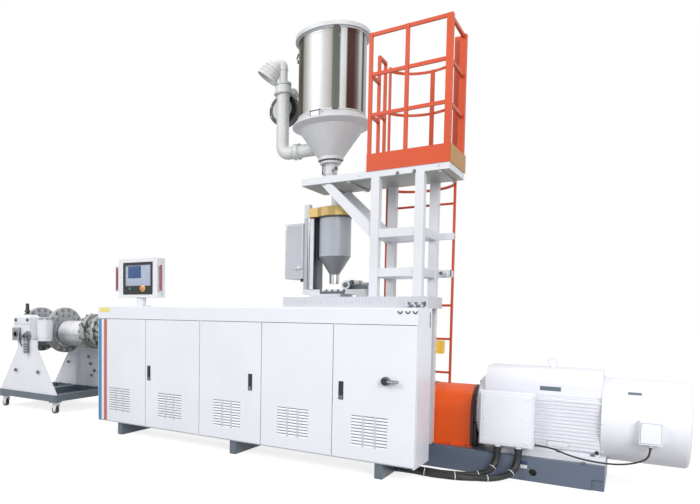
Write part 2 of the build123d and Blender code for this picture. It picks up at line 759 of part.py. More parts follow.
def door_pan(number):
    x0 = door_left(number)
    x1 = door_right(number)
    back = CAB_FRONT + DOOR_THICK
    with BuildSketch(Plane.XZ.offset(-back)) as outline:
        with Locations(((x0 + x1) / 2, (DOOR_BOTTOM + DOOR_TOP) / 2)):
            Rectangle(x1 - x0, DOOR_TOP - DOOR_BOTTOM)
    extrude(outline.sketch, amount=DOOR_THICK)
    with BuildSketch(Plane.XZ.offset(-back)) as hollow:
        with Locations(((x0 + x1) / 2, (DOOR_BOTTOM + DOOR_TOP) / 2)):
            Rectangle(x1 - x0 - DOOR_RIM * 2, DOOR_TOP - DOOR_BOTTOM - DOOR_RIM * 2)
    extrude(hollow.sketch, amount=DOOR_THICK - DOOR_SKIN, mode=Mode.SUBTRACT)
    pitch = LOUVRE_HEIGHT / LOUVRE_SLATS
    left = x0 - DOOR_GAP / 2
    for i in range(LOUVRE_SLATS):
        z = LOUVRE_BOTTOM + (i + 0.5) * pitch
        with BuildSketch(Plane.YZ.offset(left + LOUVRE_X)) as slot:
            with BuildLine():
                Polyline(
                    (CAB_FRONT, z - pitch / 3),
                    (CAB_FRONT + LOUVRE_DEPTH, z + pitch / 6),
                    (CAB_FRONT + LOUVRE_DEPTH, z + pitch / 3),
                    (CAB_FRONT, z + pitch / 3),
                    close=True,
                )
            make_face()
        extrude(slot.sketch, amount=LOUVRE_WIDTH, mode=Mode.SUBTRACT)
    if number in HANDLE_X:
        x = left + HANDLE_X[number]
        block(
            x - HANDLE_WIDTH / 2, x + HANDLE_WIDTH / 2, CAB_FRONT, CAB_FRONT + HANDLE_POCKET,
            HANDLE_Z - HANDLE_HEIGHT / 2, HANDLE_Z + HANDLE_HEIGHT / 2, mode=Mode.SUBTRACT,
        )
        block(
            x - HANDLE_WIDTH / 3, x + HANDLE_WIDTH / 3, CAB_FRONT + BEZEL_DEPTH / 5, CAB_FRONT + HANDLE_POCKET,
            HANDLE_Z - HANDLE_HEIGHT / 3, HANDLE_Z + HANDLE_HEIGHT / 2.5,
        )
    bore = PIN_RADIUS + PIN_CLEARANCE
    reach = PIN_REACH + LUG_DROP / 2
    rod_z(bore, DOOR_BOTTOM, DOOR_BOTTOM + reach, PIN_X[number], PIN_Y, mode=Mode.SUBTRACT)
    rod_z(bore, DOOR_TOP - reach, DOOR_TOP, PIN_X[number], PIN_Y, mode=Mode.SUBTRACT)


with BuildPart() as door_1:
    door_pan(1)
door_1.part.label = "door_1"
export_step(door_1.part, "parts/door_1.step")

with BuildPart() as door_2:
    door_pan(2)
door_2.part.label = "door_2"
export_step(door_2.part, "parts/door_2.step")

with BuildPart() as door_3:
    door_pan(3)
door_3.part.label = "door_3"
export_step(door_3.part, "parts/door_3.step")

with BuildPart() as door_4:
    door_pan(4)
door_4.part.label = "door_4"
export_step(door_4.part, "parts/door_4.step")

with BuildPart() as door_5:
    door_pan(5)
door_5.part.label = "door_5"
export_step(door_5.part, "parts/door_5.step")

ISOLATOR_X = CAB_LEFT + 3400
ISOLATOR_Z = 845
ISOLATOR_RADIUS = 38
ISOLATOR_DEPTH = 24
LEVER_LENGTH = 100
LEVER_WIDTH = 24
with BuildPart() as isolator:
    rod_y(ISOLATOR_RADIUS, CAB_FRONT - ISOLATOR_DEPTH, CAB_FRONT, ISOLATOR_X, ISOLATOR_Z)
    with BuildSketch(Plane.XZ.offset(ISOLATOR_DEPTH - CAB_FRONT)):
        with Locations((ISOLATOR_X + LEVER_LENGTH / 2, ISOLATOR_Z)):
            SlotCenterToCenter(LEVER_LENGTH, LEVER_WIDTH)
    extrude(amount=LEVER_WIDTH)
isolator.part.label = "isolator"
export_step(isolator.part, "parts/isolator.step")


# Operator panel

PEDESTAL_HALF = 80
PEDESTAL_FOOT = 12
with BuildPart() as hmi_post:
    block(
        HMI_X - PEDESTAL_HALF, HMI_X + PEDESTAL_HALF, HMI_Y - PEDESTAL_HALF, HMI_Y + PEDESTAL_HALF,
        CAB_TOP, CAB_TOP + PEDESTAL_FOOT,
    )
    rod_z(PEDESTAL_HALF * 0.65, CAB_TOP + PEDESTAL_FOOT, HMI_BOTTOM - DOOR_BACK_GAP, HMI_X, HMI_Y)
    rod_z(SPIGOT_RADIUS, CAB_TOP, HMI_BOTTOM + SPIGOT_HEIGHT, HMI_X, HMI_Y)
hmi_post.part.label = "hmi_post"
export_step(hmi_post.part, "parts/hmi_post.step")

HMI_FRONT = HMI_Y - HMI_DEPTH / 2
with BuildPart() as hmi_head:
    block(
        HMI_X - HMI_WIDTH / 2, HMI_X + HMI_WIDTH / 2, HMI_FRONT, HMI_FRONT + HMI_DEPTH,
        HMI_BOTTOM, HMI_TOP,
    )
    fillet(hmi_head.edges().filter_by(Axis.Y), BAND_EDGE)
    block(
        HMI_X - BEZEL_HALF, HMI_X + BEZEL_HALF, HMI_FRONT, HMI_FRONT + BEZEL_DEPTH,
        BEZEL_BOTTOM, BEZEL_TOP, mode=Mode.SUBTRACT,
    )
    block(
        HMI_X - SCREEN_HALF, HMI_X + SCREEN_HALF, HMI_FRONT, HMI_FRONT + SCREEN_DEPTH,
        SCREEN_BOTTOM, SCREEN_TOP, mode=Mode.SUBTRACT,
    )
    for side in (-1, 1):
        edge = HMI_X + side * HMI_WIDTH / 2
        with BuildSketch(Plane.XZ.offset(-HMI_FRONT)):
            with Locations((edge + side * BAIL_REACH / 2, (BAIL_BOTTOM + BAIL_TOP) / 2)):
                Rectangle(BAIL_REACH, BAIL_TOP - BAIL_BOTTOM)
            with Locations((edge + side * (BAIL_REACH - BAIL_SIZE) / 2, (BAIL_BOTTOM + BAIL_TOP) / 2)):
                Rectangle(
                    BAIL_REACH - BAIL_SIZE, BAIL_TOP - BAIL_BOTTOM - BAIL_SIZE * 2,
                    mode=Mode.SUBTRACT,
                )
        extrude(amount=-BAIL_SIZE)
    for x, radius, proud in zip(BUTTON_X, BUTTON_RADIUS, BUTTON_PROUD):
        rod_y(radius, HMI_FRONT - proud + BEZEL_DEPTH, HMI_FRONT + BEZEL_DEPTH, HMI_X + x, BUTTON_Z)
    rod_z(
        SPIGOT_RADIUS + PIN_CLEARANCE, HMI_BOTTOM, HMI_BOTTOM + SPIGOT_HEIGHT + LUG_DROP,
        HMI_X, HMI_Y, mode=Mode.SUBTRACT,
    )
hmi_head.part.label = "hmi_head"
export_step(hmi_head.part, "parts/hmi_head.step")


# Deck with a slotted front edge

BACK_POST_FRONT = TOWER_BACK - POST
SLOT_STEP = (DECK_RIGHT - DECK_LEFT) / (DECK_SLOTS + 1)
with BuildPart() as deck:
    block(DECK_LEFT, DECK_RIGHT, DECK_FRONT, BACK_POST_FRONT, CAB_TOP, DECK_TOP)
    for i in range(DECK_SLOTS):
        x = DECK_LEFT + (i + 1) * SLOT_STEP
        block(
            x - DECK_SLOT_WIDTH / 2, x + DECK_SLOT_WIDTH / 2, DECK_FRONT, DECK_FRONT + DECK_SLOT_DEPTH,
            (CAB_TOP + DECK_TOP - DECK_SLOT_HEIGHT) / 2, (CAB_TOP + DECK_TOP + DECK_SLOT_HEIGHT) / 2,
            mode=Mode.SUBTRACT,
        )
deck.part.label = "deck"
export_step(deck.part, "parts/deck.step")


# Feeder under the dryer

RAIL_TOP = FEED_TOP + RAIL_HEIGHT
PAD_X = GEAR_LEFT + GEAR_WIDTH / 3
with BuildPart() as feeder_stand:
    for y in (AXIS_Y - RAIL_HALF, AXIS_Y + RAIL_HALF - RAIL_WIDTH):
        block(RAIL_LEFT, RAIL_RIGHT, y, y + RAIL_WIDTH, FEED_TOP, RAIL_TOP)
    for x in (RAIL_LEFT, FEED_X + FEED_THROAT, RAIL_RIGHT - RAIL_WIDTH):
        block(x, x + RAIL_WIDTH, AXIS_Y - RAIL_HALF, AXIS_Y + RAIL_HALF, FEED_TOP, RAIL_TOP)
    block(
        PAD_X - RAIL_WIDTH, PAD_X + RAIL_WIDTH, AXIS_Y - RAIL_HALF, AXIS_Y + RAIL_HALF,
        GEAR_TOP, FEED_TOP,
    )
    block(
        SLIDE_LEFT, RAIL_RIGHT, AXIS_Y - RAIL_HALF / 2, AXIS_Y + RAIL_HALF / 2,
        FEED_TOP, (RAIL_TOP + SLIDE_TOP) / 2,
    )
    rod_y(
        (SLIDE_TOP - RAIL_TOP) / 2, AXIS_Y - RAIL_HALF, AXIS_Y + RAIL_HALF / 2,
        SLIDE_LEFT + RAIL_WIDTH, (RAIL_TOP + SLIDE_TOP) / 2,
    )
    block(
        COLUMN_LEFT, RAIL_LEFT, AXIS_Y - RAIL_HALF, AXIS_Y + RAIL_HALF,
        FEED_TOP, RAIL_TOP,
    )
    for y in (AXIS_Y - COLUMN_OFFSET, AXIS_Y + COLUMN_OFFSET):
        block(
            COLUMN_LEFT, COLUMN_LEFT + COLUMN_SIZE, y - COLUMN_SIZE / 2, y + COLUMN_SIZE / 2,
            RAIL_TOP, COLUMN_TOP,
        )
feeder_stand.part.label = "feeder_stand"
export_step(feeder_stand.part, "parts/feeder_stand.step")

with BuildPart() as feeder_box:
    block(BOX_LEFT, COLUMN_LEFT, AXIS_Y - RAIL_HALF, AXIS_Y + RAIL_HALF, BOX_BOTTOM, BOX_TOP)
    fillet(feeder_box.edges().filter_by(Axis.Z), BAND_EDGE)
    rod_z(
        COLUMN_SIZE / 3, BOX_BOTTOM - COLUMN_SIZE / 2, BOX_BOTTOM,
        COLUMN_LEFT - COLUMN_SIZE / 2, AXIS_Y - COLUMN_OFFSET,
    )
feeder_box.part.label = "feeder_box"
export_step(feeder_box.part, "parts/feeder_box.step")

with BuildPart() as feeder_vessel:
    turned_z(
        (
            (0, SPOUT_BOTTOM),
            (SPOUT_RADIUS, SPOUT_BOTTOM),
            (SPOUT_RADIUS, SPOUT_TOP),
            (VESSEL_RADIUS, VESSEL_BOTTOM),
            (VESSEL_RADIUS, VESSEL_TOP),
            (0, VESSEL_TOP),
        ),
        VESSEL_X,
    )
feeder_vessel.part.label = "feeder_vessel"
export_step(feeder_vessel.part, "parts/feeder_vessel.step")

with BuildPart() as feeder_ring:
    with BuildSketch(Plane.XY.offset(RING_BOTTOM)):
        with Locations((VESSEL_X, AXIS_Y)):
            RegularPolygon(RING_RADIUS, RING_SIDES)
        with Locations(((COLUMN_LEFT + COLUMN_SIZE + VESSEL_X) / 2, AXIS_Y)):
            Rectangle(VESSEL_X - COLUMN_LEFT - COLUMN_SIZE, RAIL_HALF * 2)
        with Locations((VESSEL_X, AXIS_Y)):
            Circle(VESSEL_RADIUS, mode=Mode.SUBTRACT)
    extrude(amount=VESSEL_TOP - RING_BOTTOM)
feeder_ring.part.label = "feeder_ring"
export_step(feeder_ring.part, "parts/feeder_ring.step")


# Dryer hopper

with BuildPart() as dryer_cone:
    rod_z(NECK_FLANGE, VESSEL_TOP, VESSEL_TOP + FLANGE_THICK, VESSEL_X, AXIS_Y)
    rod_z(PIPE_FOOT, VESSEL_TOP, NECK_BOTTOM + FLANGE_THICK, VESSEL_X, AXIS_Y)
    turned_z(
        (
            (0, NECK_BOTTOM),
            (CONE_RADIUS, NECK_BOTTOM),
            (CONE_RADIUS, NECK_BOTTOM + FLANGE_THICK),
            (NECK_RADIUS, NECK_BOTTOM + FLANGE_THICK),
            (NECK_RADIUS, NECK_STEPS[0]),
            (NECK_RING, NECK_STEPS[0]),
            (NECK_RING, NECK_STEPS[1]),
            (NECK_RADIUS, NECK_STEPS[1]),
            (NECK_RADIUS, NECK_STEPS[2]),
            (CONE_RADIUS, NECK_STEPS[2]),
            (CONE_RADIUS, NECK_TOP),
            (SHOULDER_RADIUS, SHOULDER_Z),
            (SKIRT_RADIUS, SKIRT_Z),
            (SKIRT_RADIUS, SKIRT_Z + SKIRT_EDGE),
            (DRUM_RADIUS, DRUM_BOTTOM),
            (0, DRUM_BOTTOM),
        ),
        DRYER_X,
    )
    block(
        DRYER_X - HATCH_WIDTH / 2, DRYER_X + HATCH_WIDTH / 2, AXIS_Y - HATCH_PROUD, AXIS_Y - HATCH_BACK,
        HATCH_BOTTOM, HATCH_BOTTOM + HATCH_HEIGHT,
    )
dryer_cone.part.label = "dryer_cone"
export_step(dryer_cone.part, "parts/dryer_cone.step")

with BuildPart() as dryer_drum:
    turned_z(
        (
            (0, DRUM_BOTTOM),
            (DRUM_RADIUS, DRUM_BOTTOM),
            (DRUM_RADIUS, DRUM_TOP),
            (0, DRUM_TOP),
        ),
        DRYER_X,
    )
    with Locations(Location((DRYER_X, AXIS_Y, (DRUM_BOTTOM + DRUM_TOP) / 2), (0, 0, STRIP_ANGLE))):
        with Locations((DRUM_RADIUS, 0, 0)):
            Box(STRIP_PROUD * 2, STRIP_WIDTH, DRUM_TOP - DRUM_BOTTOM)
dryer_drum.part.label = "dryer_drum"
export_step(dryer_drum.part, "parts/dryer_drum.step")

with BuildPart() as dryer_lid:
    turned_z(
        (
            (0, DRUM_TOP),
            (RIM_RADIUS, DRUM_TOP),
            (RIM_RADIUS, DRUM_TOP + RIM_HEIGHT),
            (LID_FLAT, DRUM_TOP + LID_HEIGHT),
            (0, DRUM_TOP + LID_HEIGHT),
        ),
        DRYER_X,
    )
dryer_lid.part.label = "dryer_lid"
export_step(dryer_lid.part, "parts/dryer_lid.step")


# Air duct with its inlet horn and blower

HORN_START = Vector(DUCT_X, AXIS_Y, HORN_CORNER)
HORN_LINE = Vector(*HORN_MOUTH) - HORN_START
CONE_START = HORN_START + HORN_LINE * HORN_SHARE[0]
with BuildPart() as air_duct:
    with BuildLine() as duct_line:
        FilletPolyline(
            (DUCT_X, AXIS_Y, COLLAR_TOP),
            (DUCT_X, AXIS_Y, DUCT_Z),
            (DRYER_X - CONE_RADIUS, AXIS_Y, DUCT_Z),
            radius=DUCT_RADIUS * DUCT_BEND,
        )
    with BuildSketch(Plane((DUCT_X, AXIS_Y, COLLAR_TOP), z_dir=(0, 0, -1))) as pipe:
        Circle(DUCT_RADIUS)
    sweep(pipe.sketch, path=duct_line.wires()[0])
    with Locations((DUCT_X, AXIS_Y, (COLLAR_BOTTOM + COLLAR_TOP) / 2)):
        Cone(*COLLAR_RADIUS, COLLAR_TOP - COLLAR_BOTTOM)
    rod_x(JOINT_RADIUS, JOINT_X, JOINT_X + JOINT_WIDTH, AXIS_Y, DUCT_Z)
    with BuildLine() as horn_line:
        FilletPolyline(
            (DUCT_X, AXIS_Y, COLLAR_BOTTOM),
            HORN_START,
            HORN_START + HORN_LINE * HORN_SHARE[1],
            radius=HORN_BEND,
        )
    with BuildSketch(Plane((DUCT_X, AXIS_Y, COLLAR_BOTTOM), z_dir=(0, 0, 1))) as tube:
        Circle(HORN_RADIUS)
    sweep(tube.sketch, path=horn_line.wires()[0])
    with Locations(Plane(origin=(Vector(*HORN_MOUTH) + CONE_START) / 2, z_dir=HORN_LINE)):
        Cone(HORN_NECK, MOUTH_RADIUS, HORN_LINE.length * (1 - HORN_SHARE[0]))
    with Locations(Plane(origin=Vector(*HORN_MOUTH) - HORN_LINE.normalized() * (MOUTH_DEPTH / 2), z_dir=HORN_LINE)):
        Cone(MOUTH_RADIUS * 2 / 3, MOUTH_RADIUS - HORN_WALL, MOUTH_DEPTH, mode=Mode.SUBTRACT)
    with Locations((DRYER_X, AXIS_Y, (NECK_TOP + SHOULDER_Z) / 2)):
        Cone(CONE_RADIUS, SHOULDER_RADIUS, SHOULDER_Z - NECK_TOP, mode=Mode.SUBTRACT)
air_duct.part.label = "air_duct"
export_step(air_duct.part, "parts/air_duct.step")

BLOWER_FRONT = AXIS_Y + COLLAR_RADIUS[0]
with BuildPart() as blower:
    rod_y(BLOWER_RADIUS, BLOWER_FRONT, BLOWER_FRONT + BLOWER_DEPTH, BLOWER_X, BLOWER_Z)
    fillet(blower.edges().filter_by(GeomType.CIRCLE), BLOWER_DEPTH / 5)
    rod_y(BLOWER_HUB, BLOWER_FRONT, BLOWER_FRONT + BLOWER_RECESS, BLOWER_X, BLOWER_Z, mode=Mode.SUBTRACT)
blower.part.label = "blower"
export_step(blower.part, "parts/blower.step")


# Tower and platform

POST_X = (TOWER_LEFT, TOWER_RIGHT - POST)
with BuildPart() as tower_posts:
    for x in POST_X:
        block(x, x + POST, TOWER_FRONT, TOWER_FRONT + POST, DECK_TOP, PLAT_BOTTOM)
        block(x, x + POST, BACK_POST_FRONT, TOWER_BACK, BASE_HEIGHT, PLAT_BOTTOM)
tower_posts.part.label = "tower_posts"
export_step(tower_posts.part, "parts/tower_posts.step")

with BuildPart() as side_box:
    block(SIDE_BOX_X[0], SIDE_BOX_X[1], TOWER_BACK, TOWER_BACK + SIDE_BOX_DEPTH, SIDE_BOX_Z[0], SIDE_BOX_Z[1])
    fillet(side_box.edges().filter_by(Axis.Y), BAND_EDGE)
    fillet(side_box.faces().sort_by(Axis.Y)[-1].edges(), BAND_EDGE / 2)
side_box.part.label = "side_box"
export_step(side_box.part, "parts/side_box.step")

BEAM_INSET = 8
STILE_FRONT = LADDER_Y - STILE_DEPTH / 2
with BuildPart() as tower_beams:
    for z in BEAM_Z:
        low = z - BEAM_HEIGHT / 2
        high = z + BEAM_HEIGHT / 2
        for y in (TOWER_FRONT, BACK_POST_FRONT):
            block(
                TOWER_LEFT + POST, TOWER_RIGHT - POST, y + BEAM_INSET, y + POST - BEAM_INSET, low, high,
            )
        for x in POST_X:
            block(
                x + BEAM_INSET, x + POST - BEAM_INSET, TOWER_FRONT + POST, BACK_POST_FRONT, low, high,
            )
        block(LADDER_LEFT, TOWER_LEFT + POST, TOWER_BACK, STILE_FRONT, low + BEAM_INSET, high - BEAM_INSET)
        block(TOWER_RIGHT - POST, LADDER_RIGHT, TOWER_BACK, STILE_FRONT, low + BEAM_INSET, high - BEAM_INSET)
    for y in (TOWER_FRONT, BACK_POST_FRONT):
        with BuildSketch(Plane.XZ.offset(-y - (POST + BRACE_THICK) / 2)):
            with BuildLine():
                Polyline(
                    (BRACE_LEFT, PLAT_BOTTOM),
                    (BRACE_LEFT + BRACE_WIDTH, PLAT_BOTTOM),
                    (TOWER_LEFT, BEAM_Z[1] + BRACE_WIDTH),
                    (TOWER_LEFT, BEAM_Z[1] - BEAM_HEIGHT / 2),
                    close=True,
                )
            make_face()
        extrude(amount=BRACE_THICK)
tower_beams.part.label = "tower_beams"
export_step(tower_beams.part, "parts/tower_beams.step")

PLAT_EDGE = RAIL + PLAT_RIM
with BuildPart() as platform:
    block(PLAT_LEFT, PLAT_RIGHT, TOWER_FRONT, TOWER_BACK, PLAT_BOTTOM, PLAT_TOP)
    block(
        PLAT_LEFT + PLAT_EDGE, PLAT_RIGHT - PLAT_EDGE, TOWER_FRONT + PLAT_EDGE, TOWER_BACK - PLAT_EDGE,
        PLAT_TOP - PLAT_RIM / 2, PLAT_TOP, mode=Mode.SUBTRACT,
    )
    for x in (LADDER_LEFT, LADDER_RIGHT - STILE_WIDTH):
        block(x, x + STILE_WIDTH, TOWER_BACK, STILE_FRONT, PLAT_BOTTOM, PLAT_TOP - PLAT_RIM)
platform.part.label = "platform"
export_step(platform.part, "parts/platform.step")


# Guard round the platform

GUARD_FRONT = TOWER_FRONT + PLAT_RIM / 4
GUARD_RIGHT = PLAT_RIGHT - PLAT_RIM / 4
GUARD_BACK = TOWER_BACK - PLAT_RIM / 4
RAIL_LOW = PLAT_TOP - PLAT_RIM / 2
POSTS = (
    (GUARD_LEFT, GUARD_FRONT, SLIM),
    (GUARD_MID, GUARD_FRONT, SLIM),
    (GUARD_RIGHT - RAIL, GUARD_FRONT, RAIL),
    (GUARD_RIGHT - RAIL, GUARD_BACK - RAIL, RAIL),
)
with BuildPart() as guard_posts:
    for x, y, size in POSTS:
        block(x, x + size, y, y + size, PLAT_TOP, GUARD_TOP)
    for y in (GRAB_FRONT, GRAB_BACK - GRAB_BAR):
        block(GUARD_LEFT, GUARD_LEFT + GRAB_BAR, y, y + GRAB_BAR, RAIL_LOW, GRAB_TOP)
guard_posts.part.label = "guard_posts"
export_step(guard_posts.part, "parts/guard_posts.step")

RAIL_GAP = (SLIM - RAIL_THICK) / 2
RAIL_SIDE = GUARD_RIGHT - RAIL / 2
with BuildPart() as guard_rails:
    for z in (*GUARD_RAIL_Z, GUARD_TOP - RAIL_DEEP / 2):
        low = z - RAIL_DEEP / 2
        high = z + RAIL_DEEP / 2
        for x0, x1 in ((GUARD_LEFT, GUARD_MID), (GUARD_MID, GUARD_RIGHT - RAIL)):
            block(x0 + SLIM, x1, GUARD_FRONT + RAIL_GAP, GUARD_FRONT + SLIM - RAIL_GAP, low, high)
        block(
            RAIL_SIDE - RAIL_THICK / 2, RAIL_SIDE + RAIL_THICK / 2,
            GUARD_FRONT + RAIL, GUARD_BACK - RAIL, low, high,
        )
    for z in GUARD_RAIL_Z:
        block(
            GUARD_LEFT, GUARD_LEFT + GRAB_BAR, GUARD_FRONT + SLIM, GRAB_FRONT,
            z - GRAB_BAR / 2, z + GRAB_BAR / 2,
        )
    for z in (GRAB_CROSS, GRAB_TOP - GRAB_BAR):
        block(
            GUARD_LEFT, GUARD_LEFT + GRAB_BAR, GRAB_FRONT + GRAB_BAR, GRAB_BACK - GRAB_BAR,
            z, z + GRAB_BAR,
        )
    block(
        GUARD_LEFT, PLAT_RIGHT, TOWER_FRONT - TOE_THICK, TOWER_FRONT,
        PLAT_TOP - TOE_THICK, PLAT_TOP + TOE_HEIGHT,
    )
    block(
        PLAT_RIGHT, PLAT_RIGHT + TOE_THICK, TOWER_FRONT, TOWER_BACK,
        PLAT_TOP - TOE_THICK, PLAT_TOP + TOE_HEIGHT,
    )
guard_rails.part.label = "guard_rails"
export_step(guard_rails.part, "parts/guard_rails.step")


# Ladder with bowed bars behind it

with BuildPart() as ladder:
    for x in (LADDER_LEFT, LADDER_RIGHT - STILE_WIDTH):
        block(
            x, x + STILE_WIDTH, STILE_FRONT, STILE_FRONT + STILE_DEPTH,
            LADDER_BOTTOM, LADDER_TOP,
        )
    for i in range(RUNG_COUNT):
        rod_x(
            RUNG_RADIUS, LADDER_LEFT + STILE_WIDTH, LADDER_RIGHT - STILE_WIDTH,
            LADDER_Y, FIRST_RUNG + i * RUNG_PITCH,
        )
    block(
        LADDER_RIGHT - STILE_PLATE, LADDER_RIGHT, STILE_FRONT, STILE_FRONT + STILE_DEPTH,
        PLAT_TOP, STILE_TOP,
    )
ladder.part.label = "ladder"
export_step(ladder.part, "parts/ladder.step")

BOW_MID = (LADDER_LEFT + LADDER_RIGHT) / 2
BOW_START = STILE_FRONT + STILE_DEPTH
with BuildPart() as ladder_cage:
    for z in BOW_Z:
        with BuildSketch(Plane.XY.offset(z - BOW_HEIGHT / 2)):
            with BuildLine():
                inner = ThreePointArc(
                    (LADDER_LEFT + STILE_WIDTH, BOW_START),
                    (BOW_MID, BOW_START + BOW_DEPTH),
                    (LADDER_RIGHT - STILE_WIDTH, BOW_START),
                )
                outer = ThreePointArc(
                    (LADDER_LEFT, BOW_START),
                    (BOW_MID, BOW_START + BOW_DEPTH + BOW_THICK),
                    (LADDER_RIGHT, BOW_START),
                )
                Line(inner @ 0, outer @ 0)
                Line(inner @ 1, outer @ 1)
            make_face()
        extrude(amount=BOW_HEIGHT)
    block(
        BOW_MID + STRAP_LEFT, BOW_MID + STRAP_LEFT + STRAP_WIDTH, BOW_START + BOW_DEPTH - BOW_THICK,
        BOW_START + BOW_DEPTH + BOW_THICK / 2, STRAP_BOTTOM, BOW_Z[-1] + BOW_HEIGHT / 2,
    )
ladder_cage.part.label = "ladder_cage"
export_step(ladder_cage.part, "parts/ladder_cage.step")


# Die cart

CORNERS = [
    (x, y)
    for y in (CART_FRONT, CART_BACK - CORNER_SIZE)
    for x in (CART_LEFT, CART_RIGHT - CORNER_SIZE)
]
with BuildPart() as cart_frame:
    block(CART_LEFT, CART_RIGHT, CART_FRONT, CART_BACK, CART_BOTTOM, CART_TOP)
    block(
        CART_LEFT + CART_WALL, CART_RIGHT - CART_WALL, CART_FRONT + CART_WALL, CART_BACK - CART_WALL,
        CART_BOTTOM + CART_FLOOR, CART_TOP, mode=Mode.SUBTRACT,
    )
    block(
        WELL_BAR_X - WELL_BAR / 2, WELL_BAR_X + WELL_BAR / 2, CART_FRONT + CART_WALL, CART_BACK - CART_WALL,
        CART_BOTTOM, CART_TOP,
    )
    for x, y in CORNERS:
        block(x, x + CORNER_SIZE, y, y + CORNER_SIZE, CART_BOTTOM - CORNER_DROP, CART_TOP)
    corner_edges = (
        cart_frame.edges().filter_by(Axis.Z).group_by(lambda e: abs(e.center().X - (CART_LEFT + CART_RIGHT) / 2))[-1]
    )
    chamfer(corner_edges.group_by(lambda e: abs(e.center().Y - (CART_FRONT + CART_BACK) / 2))[-1], CORNER_CHAMFER)
cart_frame.part.label = "cart_frame"
export_step(cart_frame.part, "parts/cart_frame.step")

PLATES = ((FRONT_PLATE, STAND_TOP, 0), (BACK_PLATE, SCREW_Z, NECK_EXTRA))
with BuildPart() as stand_plates:
    for y, top, extra in PLATES:
        with BuildSketch(Plane.XZ.offset(-y)):
            with BuildLine():
                Polyline(
                    (STAND_X - STAND_FOOT, CART_TOP),
                    (STAND_X + STAND_FOOT, CART_TOP),
                    (STAND_X + STAND_NECK + extra, STAND_SHOULDER),
                    (STAND_X + STAND_NECK + extra, top),
                    (STAND_X - STAND_NECK, top),
                    (STAND_X - STAND_NECK, STAND_SHOULDER),
                    close=True,
                )
            make_face()
        extrude(amount=-STAND_THICK)
    block(
        RIB_X, RIB_X + STAND_THICK, BACK_PLATE - STAND_THICK * 2, BACK_PLATE,
        CART_TOP, STAND_SHOULDER - STAND_NECK / 2,
    )
stand_plates.part.label = "stand_plates"
export_step(stand_plates.part, "parts/stand_plates.step")


# Die head on the cart

HALF_DISC = DISC_THICK / 2
with BuildPart() as die_discs:
    for x in DISC_X:
        turned_x(
            (
                (x - HALF_DISC, 0),
                (x - HALF_DISC, DISC_RADIUS - DISC_RIM),
                (x - HALF_DISC - DISC_RIM_PROUD, DISC_RADIUS - DISC_RIM),
                (x - HALF_DISC - DISC_RIM_PROUD, DISC_RADIUS),
                (x + HALF_DISC, DISC_RADIUS),
                (x + HALF_DISC, 0),
            ),
            SCREW_Z,
        )
die_discs.part.label = "die_discs"
export_step(die_discs.part, "parts/die_discs.step")

DISC_INNER = (DISC_X[0] + HALF_DISC, DISC_X[1] - HALF_DISC - DISC_RIM_PROUD)
with BuildPart() as die_cylinders:
    rod_x(PIPE_RADIUS, DISC_INNER[0], DISC_INNER[1] + DISC_RIM_PROUD, AXIS_Y, SCREW_Z)
    rod_x(SHELL_RADIUS, DISC_X[1] + HALF_DISC, ADAPTER_LEFT, AXIS_Y, SCREW_Z - SHELL_DROP)
die_cylinders.part.label = "die_cylinders"
export_step(die_cylinders.part, "parts/die_cylinders.step")

ADAPTER_STEPS = (0, 0.16, 0.16, 0.46, 0.46, 0.58, 0.58, 1)
ADAPTER_RADII = (240, 240, 205, 205, 245, 245, 215, 215)
with BuildPart() as die_adapter:
    run = BARREL_LEFT - ADAPTER_LEFT
    rim = [(ADAPTER_LEFT + run * step, radius) for step, radius in zip(ADAPTER_STEPS, ADAPTER_RADII)]
    turned_x([(ADAPTER_LEFT, 0), *rim, (BARREL_LEFT, 0)], SCREW_Z)
die_adapter.part.label = "die_adapter"
export_step(die_adapter.part, "parts/die_adapter.step")

with BuildPart() as screen_block:
    block(BLOCK_LEFT, BLOCK_RIGHT + PIPE_RADIUS / 2, FRONT_PLATE, DRUM2_Y, STAND_TOP, BLOCK_TOP)
    chamfer(screen_block.faces().sort_by(Axis.Z)[-1].edges(), BLOCK_CHAMFER)
    block(BLOCK_LEFT, BLOCK_RIGHT, DRUM2_Y, AXIS_Y, STAND_TOP, BLOCK_TOP - BLOCK_CHAMFER)
    rod_z(DRUM2_RADIUS, DRUM2_BOTTOM, DRUM2_TOP, DRUM2_X, DRUM2_Y)
    rod_x(PIPE_RADIUS, BLOCK_LEFT, BLOCK_RIGHT, AXIS_Y, SCREW_Z, mode=Mode.SUBTRACT)
screen_block.part.label = "screen_block"
export_step(screen_block.part, "parts/screen_block.step")

LEVER_Y = (FRONT_PLATE + DRUM2_Y) / 2
with BuildPart() as block_fittings:
    rod_y(FITTING_RADIUS, FRONT_PLATE - STAND_THICK, FRONT_PLATE, FITTING_X, FITTING_Z)
    rod_y(FITTING_RADIUS / 2, FRONT_PLATE - FITTING_RADIUS, FRONT_PLATE - STAND_THICK, FITTING_X, FITTING_Z)
    rod_z(
        FITTING_STEM, FITTING_Z - FITTING_DROP, FITTING_Z - FITTING_STEM,
        FITTING_X, FRONT_PLATE - FITTING_RADIUS / 2,
    )
    block(
        SQUARE_LEFT, SQUARE_LEFT + SQUARE_WIDTH, FRONT_PLATE - SQUARE_DEPTH, FRONT_PLATE,
        SQUARE_BOTTOM, SQUARE_BOTTOM + SQUARE_HEIGHT,
    )
    rod_y(
        SQUARE_BORE, FRONT_PLATE - SQUARE_DEPTH, FRONT_PLATE, SQUARE_LEFT + SQUARE_WIDTH / 2,
        SQUARE_BOTTOM + SQUARE_HEIGHT / 2, mode=Mode.SUBTRACT,
    )
    with Locations((LEVER_X, LEVER_Y, BLOCK_TOP + LEVER_RISE / 2)):
        Cone(LEVER_FOOT, LEVER_RADIUS, LEVER_RISE)
    rod_z(LEVER_RADIUS, BLOCK_TOP + LEVER_RISE, BLOCK_TOP + LEVER_HEIGHT, LEVER_X, LEVER_Y)
